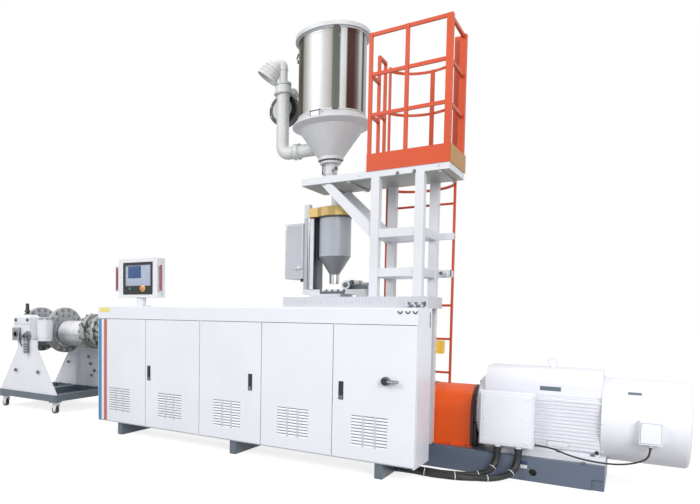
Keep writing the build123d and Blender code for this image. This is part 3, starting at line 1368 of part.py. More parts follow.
block_fittings.part.label = "block_fittings"
export_step(block_fittings.part, "parts/block_fittings.step")


# Casters: a swivelling fork and a wheel on its axle at each corner

CASTER_TOP = CART_BOTTOM - CORNER_DROP
CASTERS = {
    1: (CART_LEFT + CASTER_SHIFT + CASTER_INSET, CART_FRONT + CASTER_INSET),
    2: (CART_RIGHT + CASTER_SHIFT - CASTER_INSET, CART_FRONT + CASTER_INSET),
    3: (CART_LEFT + CASTER_SHIFT + CASTER_INSET, CART_BACK - CASTER_INSET),
    4: (CART_RIGHT + CASTER_SHIFT - CASTER_INSET, CART_BACK - CASTER_INSET),
}
FORK_TOP = CASTER_TOP - FORK_THICK * 3
SIDE_Y = WHEEL_WIDTH / 2 + FORK_GAP


def caster_fork(number):
    x, y = CASTERS[number]
    rod_z(FORK_SWIVEL, FORK_TOP, CASTER_TOP - DOOR_BACK_GAP / 5, x, y)
    block(
        x + TRAIL * 2, x + FORK_SWIVEL, y - SIDE_Y - FORK_THICK, y + SIDE_Y + FORK_THICK,
        FORK_TOP - FORK_THICK, FORK_TOP,
    )
    for inner in (-SIDE_Y - FORK_THICK, SIDE_Y):
        with BuildSketch(Plane.XZ.offset(-y - inner)) as cheek:
            with BuildLine():
                Polyline(
                    (x + TRAIL * 2, FORK_TOP),
                    (x + FORK_SWIVEL, FORK_TOP),
                    (x + TRAIL / 3, WHEEL_RADIUS - AXLE_RADIUS * 2),
                    (x + TRAIL * 1.6, WHEEL_RADIUS - AXLE_RADIUS * 2),
                    close=True,
                )
            make_face()
        extrude(cheek.sketch, amount=-FORK_THICK)
    rod_y(AXLE_RADIUS, y - SIDE_Y, y + SIDE_Y, x + TRAIL, WHEEL_RADIUS)


def caster_wheel(number):
    x, y = CASTERS[number]
    rod_y(WHEEL_RADIUS, y - WHEEL_WIDTH / 2, y + WHEEL_WIDTH / 2, x + TRAIL, WHEEL_RADIUS)
    rod_y(
        AXLE_RADIUS + AXLE_CLEARANCE / 2, y - WHEEL_WIDTH / 2, y + WHEEL_WIDTH / 2,
        x + TRAIL, WHEEL_RADIUS, mode=Mode.SUBTRACT,
    )


with BuildPart() as caster_fork_1:
    caster_fork(1)
caster_fork_1.part.label = "caster_fork_1"
export_step(caster_fork_1.part, "parts/caster_fork_1.step")

with BuildPart() as caster_fork_2:
    caster_fork(2)
caster_fork_2.part.label = "caster_fork_2"
export_step(caster_fork_2.part, "parts/caster_fork_2.step")

with BuildPart() as caster_fork_3:
    caster_fork(3)
caster_fork_3.part.label = "caster_fork_3"
export_step(caster_fork_3.part, "parts/caster_fork_3.step")

with BuildPart() as caster_fork_4:
    caster_fork(4)
caster_fork_4.part.label = "caster_fork_4"
export_step(caster_fork_4.part, "parts/caster_fork_4.step")

with BuildPart() as caster_wheel_1:
    caster_wheel(1)
caster_wheel_1.part.label = "caster_wheel_1"
export_step(caster_wheel_1.part, "parts/caster_wheel_1.step")

with BuildPart() as caster_wheel_2:
    caster_wheel(2)
caster_wheel_2.part.label = "caster_wheel_2"
export_step(caster_wheel_2.part, "parts/caster_wheel_2.step")

with BuildPart() as caster_wheel_3:
    caster_wheel(3)
caster_wheel_3.part.label = "caster_wheel_3"
export_step(caster_wheel_3.part, "parts/caster_wheel_3.step")

with BuildPart() as caster_wheel_4:
    caster_wheel(4)
caster_wheel_4.part.label = "caster_wheel_4"
export_step(caster_wheel_4.part, "parts/caster_wheel_4.step")


# Cables: straight runs joined by arcs tangent to both

def bend_radii(points):
    radii = []
    for a, b, c in zip(points, points[1:], points[2:]):
        u = Vector(*b) - Vector(*a)
        v = Vector(*c) - Vector(*b)
        half_turn = radians(u.get_angle(v)) / 2
        radii.append(0.45 * min(u.length, v.length) / tan(half_turn))
    return radii


def cable(points, diameter):
    radii = bend_radii(points)
    print("bend radii", [round(r) for r in radii], "diameter", diameter)
    with BuildLine() as path:
        FilletPolyline(*points, radius=radii)
    start = Vector(*points[0])
    with BuildSketch(Plane(start, z_dir=Vector(*points[1]) - start)) as section:
        Circle(diameter / 2)
    sweep(section.sketch, path=path.wires()[0])


GLAND_BOTTOM = TERM_BOTTOM - GLAND_LENGTH
GLAND_Y = TERM_FRONT + GLAND_INSET
FLOOR_LAY = MAIN_CABLE / 2 + 1
ENTRY_X = BEAM_SIDE + GLAND_LENGTH
ENTRY_RUN = 170

with BuildPart() as main_cable_1:
    cable(
        (
            (GLAND_X[0], GLAND_Y, GLAND_BOTTOM),
            (GLAND_X[0], GLAND_Y, GLAND_BOTTOM - CABLE_DROP),
            (GLAND_X[0] - 40, GLAND_Y - 70, FLOOR_LAY + 34),
            (GLAND_X[0] - 148, GLAND_Y - 180, FLOOR_LAY + 3),
            (GLAND_X[0] - 338, GLAND_Y - 255, FLOOR_LAY),
            (ENTRY_X + ENTRY_RUN, CABLE_END_Y[0], CABLE_END_Z),
            (ENTRY_X, CABLE_END_Y[0], CABLE_END_Z),
        ),
        MAIN_CABLE,
    )
main_cable_1.part.label = "main_cable_1"
export_step(main_cable_1.part, "parts/main_cable_1.step")

with BuildPart() as main_cable_2:
    cable(
        (
            (GLAND_X[1], GLAND_Y, GLAND_BOTTOM),
            (GLAND_X[1], GLAND_Y, GLAND_BOTTOM - CABLE_DROP),
            (GLAND_X[1] - 40, GLAND_Y - 70, FLOOR_LAY + 34),
            (GLAND_X[1] - 148, GLAND_Y - 180, FLOOR_LAY + 3),
            (GLAND_X[1] - 351, GLAND_Y - 285, FLOOR_LAY),
            (GLAND_X[1] - 541, GLAND_Y - 350, FLOOR_LAY + 1),
            (ENTRY_X + ENTRY_RUN, CABLE_END_Y[1], CABLE_END_Z),
            (ENTRY_X, CABLE_END_Y[1], CABLE_END_Z),
        ),
        MAIN_CABLE,
    )
main_cable_2.part.label = "main_cable_2"
export_step(main_cable_2.part, "parts/main_cable_2.step")

FAN_START = TERM_RIGHT + GLAND_LENGTH
FAN_END = COWL_BOX_BOTTOM - GLAND_LENGTH
with BuildPart() as fan_cable:
    cable(
        (
            (FAN_START, SIDE_GLAND_Y, SIDE_GLAND_Z),
            (FAN_START + 110, SIDE_GLAND_Y, SIDE_GLAND_Z),
            (FAN_START + 270, SIDE_GLAND_Y, SIDE_GLAND_Z - 58),
            (FAN_START + 450, SIDE_GLAND_Y, SIDE_GLAND_Z - 80),
            (FAN_START + 610, SIDE_GLAND_Y, SIDE_GLAND_Z - 74),
            (COWL_BOX_X - 50, COWL_GLAND_Y, FAN_END - 120),
            (COWL_BOX_X, COWL_GLAND_Y, FAN_END - 70),
            (COWL_BOX_X, COWL_GLAND_Y, FAN_END),
        ),
        FAN_CABLE,
    )
fan_cable.part.label = "fan_cable"
export_step(fan_cable.part, "parts/fan_cable.step")
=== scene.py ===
import math
import itertools
import bmesh
import bpy
from mathutils import Matrix, Vector


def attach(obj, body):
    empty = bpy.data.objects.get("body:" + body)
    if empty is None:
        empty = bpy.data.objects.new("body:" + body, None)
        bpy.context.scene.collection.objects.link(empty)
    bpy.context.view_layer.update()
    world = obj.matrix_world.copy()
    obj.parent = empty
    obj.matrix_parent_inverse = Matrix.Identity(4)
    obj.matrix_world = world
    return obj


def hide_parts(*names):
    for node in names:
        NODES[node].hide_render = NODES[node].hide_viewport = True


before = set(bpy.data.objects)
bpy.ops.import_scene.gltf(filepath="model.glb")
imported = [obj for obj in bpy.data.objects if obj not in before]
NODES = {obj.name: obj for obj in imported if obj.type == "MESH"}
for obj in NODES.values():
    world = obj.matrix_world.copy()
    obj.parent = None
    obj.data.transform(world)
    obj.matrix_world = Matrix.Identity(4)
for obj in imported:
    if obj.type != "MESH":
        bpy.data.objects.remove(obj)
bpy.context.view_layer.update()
BODY = "machine"


# Floor: its half width in metres. Floor and sky: brightness, where 1 is white

FLOOR_REACH = 60
FLOOR_SHADE = 0.36
FLOOR_GLOW = 0.8
SKY_LIGHT = 0.64


# Places that the details share, in millimetres: an upright axis as (x, y), a lying one as (y, z)

DRYER = (962, 300)
VESSEL = (1030, 300)
DUCT_PIPE = (375, 300)
BARREL_AXIS = (300, 1106)
MOTOR_AXIS = (300, 550)
DRUM_RADIUS = 352
HOOD_RADIUS = 342
FIRST_DOOR = -1400
DOOR_WIDTH = 730
PANEL_X = -900
PANEL_FRONT = -680

UP, DOWN = (0, 0, 1), (0, 0, -1)
FRONT, REAR = (0, -1, 0), (0, 1, 0)
LEFT, RIGHT = (-1, 0, 0), (1, 0, 0)


# Camera, fitted to the photograph: angles in radians, the eye in metres, the rest but the sensor in pixels

YAW = -0.603
PITCH = -0.048
ROLL = 0.010
FOCAL = 593.967
SENSOR = 36
PHOTO_WIDTH = 700
PHOTO_HEIGHT = 504
AXIS_ACROSS = 222.322
AXIS_DOWN = 338.87
eye = Vector((3.664, -5.627, 1.42))
forward = Vector((math.sin(YAW) * math.cos(PITCH), math.cos(YAW) * math.cos(PITCH), math.sin(PITCH)))
right = Vector((math.cos(YAW), -math.sin(YAW), 0))
up = right.cross(forward)
turned_right = right * math.cos(ROLL) + up * math.sin(ROLL)
turned_up = up * math.cos(ROLL) - right * math.sin(ROLL)
cam_data = bpy.data.cameras.new("camera")
cam_data.sensor_width = SENSOR
cam_data.lens = FOCAL * SENSOR / PHOTO_WIDTH
cam_data.shift_x = (PHOTO_WIDTH / 2 - AXIS_ACROSS) / PHOTO_WIDTH
cam_data.shift_y = (AXIS_DOWN - PHOTO_HEIGHT / 2) / PHOTO_WIDTH
cam_data.clip_end = 200
camera = bpy.data.objects.new("camera", cam_data)
camera.matrix_world = Matrix((
    (turned_right.x, turned_up.x, -forward.x, eye.x),
    (turned_right.y, turned_up.y, -forward.y, eye.y),
    (turned_right.z, turned_up.z, -forward.z, eye.z),
    (0, 0, 0, 1),
))
bpy.context.scene.collection.objects.link(camera)
bpy.context.scene.camera = camera


# Materials

def linear(rgb):
    return tuple((c / 255 / 12.92 if c <= 10 else ((c / 255 + 0.055) / 1.055) ** 2.4) for c in rgb)


class Maker:
    def __init__(self, name):
        self.mat = bpy.data.materials.new(name)
        self.mat.use_nodes = True
        self.tree = self.mat.node_tree
        self.shader = self.tree.nodes["Principled BSDF"]
        self.coord = self.tree.nodes.new("ShaderNodeTexCoord")

    def node(self, kind, **values):
        n = self.tree.nodes.new(kind)
        for key, value in values.items():
            setattr(n, key, value)
        return n

    def link(self, a, b):
        self.tree.links.new(a, b)

    def noise(self, scale, detail=3, stretch=None):
        n = self.node("ShaderNodeTexNoise")
        n.inputs["Scale"].default_value = scale
        n.inputs["Detail"].default_value = detail
        m = self.node("ShaderNodeMapping")
        m.inputs["Scale"].default_value = stretch or (1, 1, 1)
        self.link(self.coord.outputs["Object"], m.inputs["Vector"])
        self.link(m.outputs["Vector"], n.inputs["Vector"])
        return n.outputs["Fac"]

    def ramp(self, fac, stops):
        r = self.node("ShaderNodeValToRGB")
        while len(r.color_ramp.elements) < len(stops):
            r.color_ramp.elements.new(0.5)
        for e, (at, colour) in zip(r.color_ramp.elements, stops):
            e.position = at
            e.color = (*colour, 1)
        self.link(fac, r.inputs["Fac"])
        return r.outputs["Color"]

    def spread(self, fac, low, high):
        m = self.node("ShaderNodeMapRange")
        m.inputs["To Min"].default_value = low
        m.inputs["To Max"].default_value = high
        self.link(fac, m.inputs["Value"])
        return m.outputs["Result"]

    def along(self, axis):
        split = self.node("ShaderNodeSeparateXYZ")
        self.link(self.coord.outputs["Object"], split.inputs[0])
        return split.outputs[axis]

    def share(self, value, low, high):
        m = self.node("ShaderNodeMapRange")
        m.inputs["From Min"].default_value = low
        m.inputs["From Max"].default_value = high
        self.link(value, m.inputs["Value"])
        return m.outputs["Result"]

    def colour(self, base, grain, start, dark, amount):
        mix = self.node("ShaderNodeMix", data_type="RGBA", blend_type="MULTIPLY")
        mix.inputs[0].default_value = amount
        self.link(base, mix.inputs[6])
        self.link(self.ramp(grain, [(start, (dark, dark, dark)), (1 - start, (1, 1, 1))]), mix.inputs[7])
        self.link(mix.outputs[2], self.shader.inputs["Base Color"])

    def bump(self, fac, strength, distance=0.001):
        b = self.node("ShaderNodeBump")
        b.inputs["Strength"].default_value = strength
        b.inputs["Distance"].default_value = distance
        self.link(fac, b.inputs["Height"])
        self.link(b.outputs["Normal"], self.shader.inputs["Normal"])


def shade(colour, factor):
    return tuple(min(1, c * factor) for c in colour)


def paint(name, rgb, rough=0.38, vary=0.05, coat=0.15, grain=260):
    m = Maker(name)
    base = linear(rgb)
    cloud = m.noise(2.2, 4)
    m.link(m.ramp(cloud, [(0.3, shade(base, 1 - vary)), (0.7, shade(base, 1 + vary * 0.5))]),
           m.shader.inputs["Base Color"])
    m.link(m.spread(m.noise(14, 5), rough - 0.07, rough + 0.09), m.shader.inputs["Roughness"])
    m.shader.inputs["Coat Weight"].default_value = coat
    m.shader.inputs["Coat Roughness"].default_value = 0.25
    m.bump(m.noise(grain, 2), 0.12, 0.0006)
    return m.mat


def steel(name, rgb, rough=0.28, stretch=(1, 1, 40), vary=0.12, metallic=1.0):
    m = Maker(name)
    base = linear(rgb)
    grain = m.noise(18, 6, stretch)
    m.link(m.ramp(grain, [(0.3, shade(base, 1 - vary)), (0.7, shade(base, 1 + vary))]),
           m.shader.inputs["Base Color"])
    m.link(m.spread(m.noise(9, 4, stretch), rough - 0.08, rough + 0.12), m.shader.inputs["Roughness"])
    m.shader.inputs["Metallic"].default_value = metallic
    m.bump(grain, 0.08, 0.0004)
    return m.mat


def plastic(name, rgb, rough=0.45):
    m = Maker(name)
    base = linear(rgb)
    m.link(m.ramp(m.noise(60, 3), [(0.35, shade(base, 0.92)), (0.65, shade(base, 1.06))]),
           m.shader.inputs["Base Color"])
    m.link(m.spread(m.noise(30, 3), rough - 0.06, rough + 0.08), m.shader.inputs["Roughness"])
    m.bump(m.noise(520, 2), 0.15, 0.0004)
    return m.mat


WHITE = paint("white paint", (228, 230, 237), 0.34)
DOOR = paint("door paint", (226, 228, 236), 0.36, 0.03)
CREAM = paint("tower paint", (212, 214, 220), 0.4)
DECKING = paint("deck paint", (196, 198, 204), 0.42)
BLUE = paint("blue grey paint", (90, 101, 120), 0.42, 0.08)
DARK = paint("dark grey paint", (92, 104, 114), 0.45, 0.1)
ORANGE = paint("orange paint", (200, 72, 27), 0.48, 0.09, 0.04)
VIVID = paint("guard orange paint", (238, 90, 14), 0.45, 0.08, 0.04)
MOTOR = paint("motor paint", (230, 231, 238), 0.4, 0.04)
GREY = paint("grey paint", (184, 186, 194), 0.4)
BRASS = steel("brass plate", (188, 162, 106), 0.38, (1, 1, 12), 0.14, 0.7)
CONE = steel("matt sheet", (204, 206, 209), 0.58, (4, 4, 1), 0.06, 0.25)
TURNED = steel("turned steel", (190, 192, 196), 0.26, (40, 1, 1), 0.12)
PLATE = steel("machined steel", (150, 153, 158), 0.36, (3, 12, 12), 0.16)
HEATER = steel("dark heater", (172, 175, 172), 0.5, (30, 2, 2), 0.4, 0.5)
BOLT = steel("bolt steel", (116, 119, 124), 0.35, (8, 8, 8), 0.2)
ZINC = steel("zinc steel", (196, 198, 202), 0.3, (8, 8, 8), 0.15)
BLACK = plastic("black plastic", (30, 31, 34), 0.42)
RUBBER = plastic("cable jacket", (24, 25, 27), 0.5)
WHEEL = plastic("wheel tread", (46, 47, 50), 0.5)
DUCT = plastic("duct grey", (206, 208, 208), 0.4)
PALE = plastic("pale plastic", (222, 224, 228), 0.35)
GREEN = plastic("green plastic", (64, 122, 98), 0.32)
YELLOW = plastic("yellow plastic", (240, 196, 74), 0.35)
# Painted shade: a grey for the strips between the louvres' columns, greyer than the doors
LOUVRE = paint("louvre grey for painted shade", (198, 200, 208), 0.4)
SWITCH = plastic("switch grey", (124, 126, 130), 0.42)
STRAW = plastic("straw film", (228, 216, 132), 0.4)
AMBER = plastic("amber button", (204, 138, 84), 0.34)
BLUE_FILM = plastic("blue film", (74, 128, 170), 0.35)
SKY_FILM = plastic("light blue film", (168, 214, 240), 0.35)
SALMON = plastic("salmon film", (186, 104, 92), 0.35)
MAROON = plastic("maroon grip", (150, 84, 106), 0.4)
NAVY = plastic("navy plastic", (48, 58, 104), 0.4)
GLASS = plastic("display glass", (168, 178, 198), 0.14)
WINDOW = plastic("display window", (54, 82, 130), 0.14)
# Painted highlight: a lighter grey for the tops of the cart's edges
EDGE = paint("painted top highlight", (128, 140, 150), 0.4)


# The polished drum mirrors its surroundings in the photograph, and upright bands paint that on the sheet.
# Each is an angle round the drum in degrees, -90 on the doors' side, and a colour. The angles from -157 to 0
# were given near ones worked out for columns of the photograph. They and the colours were changed later,
# and how each value was chosen isn't recorded

def banded_sheet():
    m = Maker("polished sheet")
    turn = m.node("ShaderNodeMath", operation="ARCTAN2")
    for socket, axis, centre in ((1, "X", DRYER[0]), (0, "Y", DRYER[1])):
        shift = m.node("ShaderNodeMath", operation="SUBTRACT")
        shift.inputs[1].default_value = centre / 1000
        m.link(m.along(axis), shift.inputs[0])
        m.link(shift.outputs[0], turn.inputs[socket])
    # Colours of the painted reflection bands
    bright, rosy, pale, dull = (196, 200, 198), (188, 182, 186), (160, 156, 148), (124, 112, 108)
    olive, brown, green, red_brown, plum = (52, 48, 34), (84, 70, 58), (84, 88, 84), (76, 50, 44), (70, 66, 76)
    bands = [(-180, olive), (-157, olive), (-140, brown), (-125, olive), (-119, pale), (-106, bright),
             (-84, bright), (-74, rosy), (-67, pale), (-64, green), (-54, green), (-52, bright),
             (-43, bright), (-41, red_brown), (-28, red_brown), (-20, dull), (-15, bright), (-9, bright),
             (-7, plum), (-2, plum), (0, rosy), (70, bright), (90, pale), (110, green),
             (124, bright), (165, pale), (180, olive)]
    stops = [((degrees + 180) / 360, linear(rgb)) for degrees, rgb in bands]
    grain = m.noise(20, 5, (5, 5, 0.12))
    m.colour(m.ramp(m.share(turn.outputs[0], -math.pi, math.pi), stops), grain, 0.35, 0.86, 0.35)
    m.link(m.spread(grain, 0.34, 0.46), m.shader.inputs["Roughness"])
    m.shader.inputs["Metallic"].default_value = 0.3
    m.shader.inputs["Specular IOR Level"].default_value = 0.3
    m.shader.inputs["Specular Tint"].default_value = (0.5, 0.5, 0.5, 1)
    m.bump(grain, 0.05, 0.0003)
    return m.mat


# Two tones that meet at a place along an axis, in metres, as painted shade: a darker lower part, and the
# guard's right-hand side in ochre

def shade_split_paint(name, low_rgb, high_rgb, place, blend=0.004, axis="Z", rough=0.37, coat=0.2, metallic=0.0):
    m = Maker(name)
    share = m.share(m.along(axis), place - blend, place + blend)
    m.colour(m.ramp(share, [(0, linear(low_rgb)), (1, linear(high_rgb))]), m.noise(3, 4), 0.3, 0.9, 0.5)
    m.link(m.spread(m.noise(12, 4), rough - 0.07, rough + 0.07), m.shader.inputs["Roughness"])
    m.shader.inputs["Metallic"].default_value = metallic
    m.shader.inputs["Coat Weight"].default_value = coat
    m.shader.inputs["Coat Roughness"].default_value = 0.25
    m.bump(m.noise(240, 2), 0.1, 0.0005)
    return m.mat


DRUM = banded_sheet()
# Painted shade: the small hopper darker below 2.0 m, where its cone is, the die shell darker below 1.07 m,
# the die discs below 0.98 m, and the guard's rails in ochre beyond x 2.3836 m, on its right-hand side
SLATE = shade_split_paint("vessel paint", (142, 146, 151), (184, 189, 198), 2.0)
SHELL = shade_split_paint("die shell", (206, 208, 210), (232, 232, 234), 1.07, 0.03, metallic=0.2)
DISC = shade_split_paint("die disc", (92, 92, 90), (176, 177, 180), 0.98, 0.2)
RAILING = shade_split_paint("railing paint", (200, 72, 27), (172, 122, 52), 2.3836, 0.0004, "X", 0.48, 0.04)
# Painted shade: a darker grey for a sheet under the platform
UNDERSIDE_SHADE = paint("painted underside shade", (162, 164, 161), 0.5, 0.05)


def dress(material, *names):
    for name in names:
        slots = NODES[name].data.materials
        slots.clear()
        slots.append(material)


dress(BLUE, "bed", "drive_base", "gearbox")
dress(WHITE, "cabinet_back", "cabinet_floor", "cabinet_walls", "barrel_cover", "feed_section",
      "screen_block", "stand_plates")
dress(DECKING, "deck")
dress(CREAM, "tower_posts", "tower_beams", "platform")
dress(DARK, "base_frame", "cart_frame", "cabinet_gear")
dress(YELLOW, "side_box")
dress(ORANGE, "guard_posts", "ladder", "ladder_cage")
dress(RAILING, "guard_rails")
dress(VIVID, "coupling_guard")
dress(MOTOR, "motor_body", "terminal_box", "fan_cowl")
dress(DOOR, "cabinet_roof", *[f"door_{i}" for i in range(1, 6)])
dress(GREY, "feeder_box")
dress(PALE, "feeder_stand", "hmi_head", "hmi_post")
dress(SLATE, "feeder_vessel")
dress(BRASS, "feeder_ring")
dress(DRUM, "dryer_drum")
dress(CONE, "dryer_cone", "dryer_lid")
dress(DUCT, "air_duct")
dress(BLACK, "blower")
dress(SWITCH, "isolator")
dress(SHELL, "die_cylinders")
dress(TURNED, "barrel")
dress(DISC, "die_discs")
dress(PLATE, "block_fittings")
dress(HEATER, "die_adapter")
dress(PALE, *[f"caster_fork_{i}" for i in range(1, 5)])
dress(WHEEL, *[f"caster_wheel_{i}" for i in range(1, 5)])
dress(RUBBER, "main_cable_1", "main_cable_2", "fan_cable")


# Floor, backdrop and light

def background_rays(tree):
    path = tree.nodes.new("ShaderNodeLightPath")
    seen = path.outputs["Is Camera Ray"]
    for name in ("Is Glossy Ray", "Is Transmission Ray"):
        total = tree.nodes.new("ShaderNodeMath")
        total.operation = "ADD"
        total.use_clamp = True
        tree.links.new(seen, total.inputs[0])
        tree.links.new(path.outputs[name], total.inputs[1])
        seen = total.outputs[0]
    return seen


floor = bpy.data.meshes.new("floor")
corners = [(x * FLOOR_REACH, y * FLOOR_REACH, 0) for x, y in ((-1, -1), (1, -1), (1, 1), (-1, 1))]
floor.from_pydata(corners, [], [(0, 1, 2, 3)])
floor_object = bpy.data.objects.new("floor", floor)
bpy.context.scene.collection.objects.link(floor_object)
ground = Maker("floor")
ground.tree.nodes.remove(ground.shader)
diffuse = ground.node("ShaderNodeBsdfDiffuse")
diffuse.inputs["Color"].default_value = (FLOOR_SHADE, FLOOR_SHADE, FLOOR_SHADE, 1)
glow = ground.node("ShaderNodeEmission")
gain = ground.node("ShaderNodeMath", operation="MULTIPLY")
gain.inputs[1].default_value = FLOOR_GLOW
ground.link(background_rays(ground.tree), gain.inputs[0])
ground.link(gain.outputs[0], glow.inputs["Strength"])
both = ground.node("ShaderNodeAddShader")
ground.link(diffuse.outputs[0], both.inputs[0])
ground.link(glow.outputs[0], both.inputs[1])
ground.link(both.outputs[0], ground.tree.nodes["Material Output"].inputs["Surface"])
floor.materials.append(ground.mat)

world = bpy.data.worlds.new("studio")
bpy.context.scene.world = world
world.use_nodes = True
sky = world.node_tree
background = sky.nodes["Background"]
level = sky.nodes.new("ShaderNodeMapRange")
level.inputs["To Min"].default_value = SKY_LIGHT
level.inputs["To Max"].default_value = 1.0
sky.links.new(background_rays(sky), level.inputs["Value"])
sky.links.new(level.outputs["Result"], background.inputs["Strength"])
background.inputs["Color"].default_value = (1, 1, 1, 1)


def lamp(name, place, target, size, watts):
    data = bpy.data.lights.new(name, "AREA")
    data.shape = "DISK"
    data.size = size
    data.energy = watts
    o = bpy.data.objects.new(name, data)
    o.location = place
    o.rotation_euler = (Vector(target) - Vector(place)).to_track_quat("-Z", "Y").to_euler()
    bpy.context.scene.collection.objects.link(o)


lamp("key", (-4.5, -8.5, 8.0), (0.2, 0, 1.2), 6, 570)
lamp("fill", (8.0, -7.0, 4.5), (1.0, 0, 1.2), 5, 540)
lamp("top", (1.5, 1.0, 11.0), (0.5, 0, 1.0), 6, 170)

bpy.context.scene.view_settings.view_transform = "Standard"


# Meshes of the detail pieces, written in millimetres

def turns(count, shift=0):
    return [math.tau * (i + shift) / count for i in range(count)]


def around(centre, radius, angle):
    return centre[0] + radius * math.cos(angle), centre[1] + radius * math.sin(angle)


def rim(centre, side, other, radius, angle):
    return centre + (side * math.cos(angle) + other * math.sin(angle)) * radius


def sections(points, closed=False):
    n = len(points)
    side = None
    for i, place in enumerate(points):
        before = points[i - 1] if closed or i else place
        after = points[(i + 1) % n] if closed or i < n - 1 else place
        tangent = (after - before).normalized()
        side = tangent.orthogonal() if side is None else side - tangent * side.dot(tangent)
        side.normalize()
        yield place, side, tangent.cross(side)


class Piece:
    def __init__(self, name, *materials):
        self.name = name
        self.materials = materials
        self.bm = bmesh.new()

    def faces(self, points, loops, slot):
        made = [self.bm.verts.new(p) for p in points]
        out = []
        for loop in loops:
            face = self.bm.faces.new([made[i] for i in loop])
            face.material_index = slot
            out.append(face)
        return out

    def soften(self, faces, size):
        if size:
            edges = list(dict.fromkeys(e for f in faces for e in f.edges))
            bmesh.ops.bevel(self.bm, geom=edges, offset=size, segments=2, profile=0.7, affect="EDGES")

    def box(self, low, high, slot=0, bevel=1.0):
        (x0, y0, z0), (x1, y1, z1) = low, high
        points = [(x, y, z) for z in (z0, z1) for y in (y0, y1) for x in (x0, x1)]
        loops = [(0, 2, 3, 1), (4, 5, 7, 6), (0, 1, 5, 4), (2, 6, 7, 3), (0, 4, 6, 2), (1, 3, 7, 5)]
        self.soften(self.faces(points, loops, slot), bevel)

    def prism(self, outline, front, back, slot=0, bevel=0):
        n = len(outline)
        points = [(x, y, z) for y in (front, back) for x, z in outline]
        loops = [tuple(range(n)), tuple(range(2 * n - 1, n - 1, -1))]
        loops += [(i, n + i, n + (i + 1) % n, (i + 1) % n) for i in range(n)]
        self.soften(self.faces(points, loops, slot), bevel)

    def frame(self, outer, inner, front, back, slot=0):
        (x0, z0, x1, z1), (u0, w0, u1, w1) = outer, inner
        ring = [(x0, z0), (x1, z0), (x1, z1), (x0, z1)], [(u0, w0), (u1, w0), (u1, w1), (u0, w1)]
        points = [(x, y, z) for y in (front, back) for side in ring for x, z in side]
        loops = []
        for i in range(4):
            j = (i + 1) % 4
            loops += [(i, j, 4 + j, 4 + i), (8 + i, 12 + i, 12 + j, 8 + j),
                      (i, 8 + i, 8 + j, j), (4 + i, 4 + j, 12 + j, 12 + i)]
        self.faces(points, loops, slot)

    def lathe(self, profile, origin, axis, slot=0, steps=32):
        axis = Vector(axis).normalized()
        side = axis.orthogonal().normalized()
        other = axis.cross(side)
        rings = []
        for t, r in profile:
            centre = Vector(origin) + axis * t
            if r == 0:
                rings.append([self.bm.verts.new(centre)])
                continue
            rings.append([self.bm.verts.new(rim(centre, side, other, r, a)) for a in turns(steps)])
        for a, b in zip(rings, rings[1:]):
            for i in range(steps if len(a) + len(b) > 2 else 0):
                j = (i + 1) % steps
                loop = [a[i % len(a)], a[j % len(a)], b[j % len(b)], b[i % len(b)]]
                face = self.bm.faces.new(list(dict.fromkeys(loop)))
                face.material_index = slot

    def band(self, radii, width, place, axis, slot=0, steps=32):
        inner, outer = radii
        self.lathe([(0, inner), (0, outer), (width, outer), (width, inner)], place, axis, slot, steps)

    def hoop(self, centre, height, radius, width, proud, slot=0, steps=96):
        self.band((radius - 4, radius + proud), width, (*centre, height), UP, slot, steps)

    def knob(self, radii, depths, place, axis, slot=0, steps=32):
        (foot, tip), (side, top) = radii, depths
        self.lathe([(0, 0), (0, foot), (side, foot), (top, tip), (top, 0)], place, axis, slot, steps)

    def bolt(self, place, axis, size, slot=0):
        r = size * 0.9
        low, high, top = size * 0.16, size * 0.7, size * 0.8
        self.band((0, r * 1.3), low, place, axis, slot, 20)
        self.lathe([(low, 0), (low, r), (high, r), (top, r * 0.86), (top, 0)], place, axis, slot, 6)

    def grid(self, xs, ys, zs, axis, size, slot=0):
        for place in itertools.product(xs, ys, zs):
            self.bolt(place, axis, size, slot)

    def bolts(self, centre, radius, count, axis, size, slot=0, turn=0.0):
        centre, normal = Vector(centre), Vector(axis)
        side = normal.orthogonal().normalized()
        other = normal.cross(side)
        for a in turns(count, turn):
            self.bolt(rim(centre, side, other, radius, a), axis, size, slot)

    def skin(self, rings, slot=0, closed=False):
        steps = len(rings[0])
        for a, b in list(zip(rings, rings[1:])) + ([(rings[-1], rings[0])] if closed else []):
            for k in range(steps):
                j = (k + 1) % steps
                self.bm.faces.new((a[k], a[j], b[j], b[k])).material_index = slot
        if not closed:
            self.bm.faces.new(rings[0]).material_index = slot
            self.bm.faces.new(rings[-1][::-1]).material_index = slot

    def tube(self, points, radius, slot=0, steps=12, closed=False):
        rings = []
        for place, side, other in sections([Vector(p) for p in points], closed):
            rings.append([self.bm.verts.new(rim(place, side, other, radius, a)) for a in turns(steps)])
        self.skin(rings, slot, closed)

    def done(self, body=BODY, angle=35):
        bmesh.ops.recalc_face_normals(self.bm, faces=self.bm.faces)
        bmesh.ops.scale(self.bm, vec=(0.001, 0.001, 0.001), verts=self.bm.verts)
        mesh = bpy.data.meshes.new(self.name)
        self.bm.to_mesh(mesh)
        self.bm.free()
        for material in self.materials:
            mesh.materials.append(material)
        mesh.polygons.foreach_set("use_smooth", [True] * len(mesh.polygons))
        mesh.set_sharp_from_angle(angle=math.radians(angle))
        o = bpy.data.objects.new(self.name, mesh)
        bpy.context.scene.collection.objects.link(o)
        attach(o, body)
        return o


# Cables: the route is a smooth spline, and a bundle's mesh follows it

LENGTHS = {"main_cable_1": 1.01, "main_cable_2": 1.20, "fan_cable": 0.89}
BUNDLE_DIAMETER = 0.056
LEAD_DIAMETER = 0.014
STRANDS = 5
TWIST = 5.0


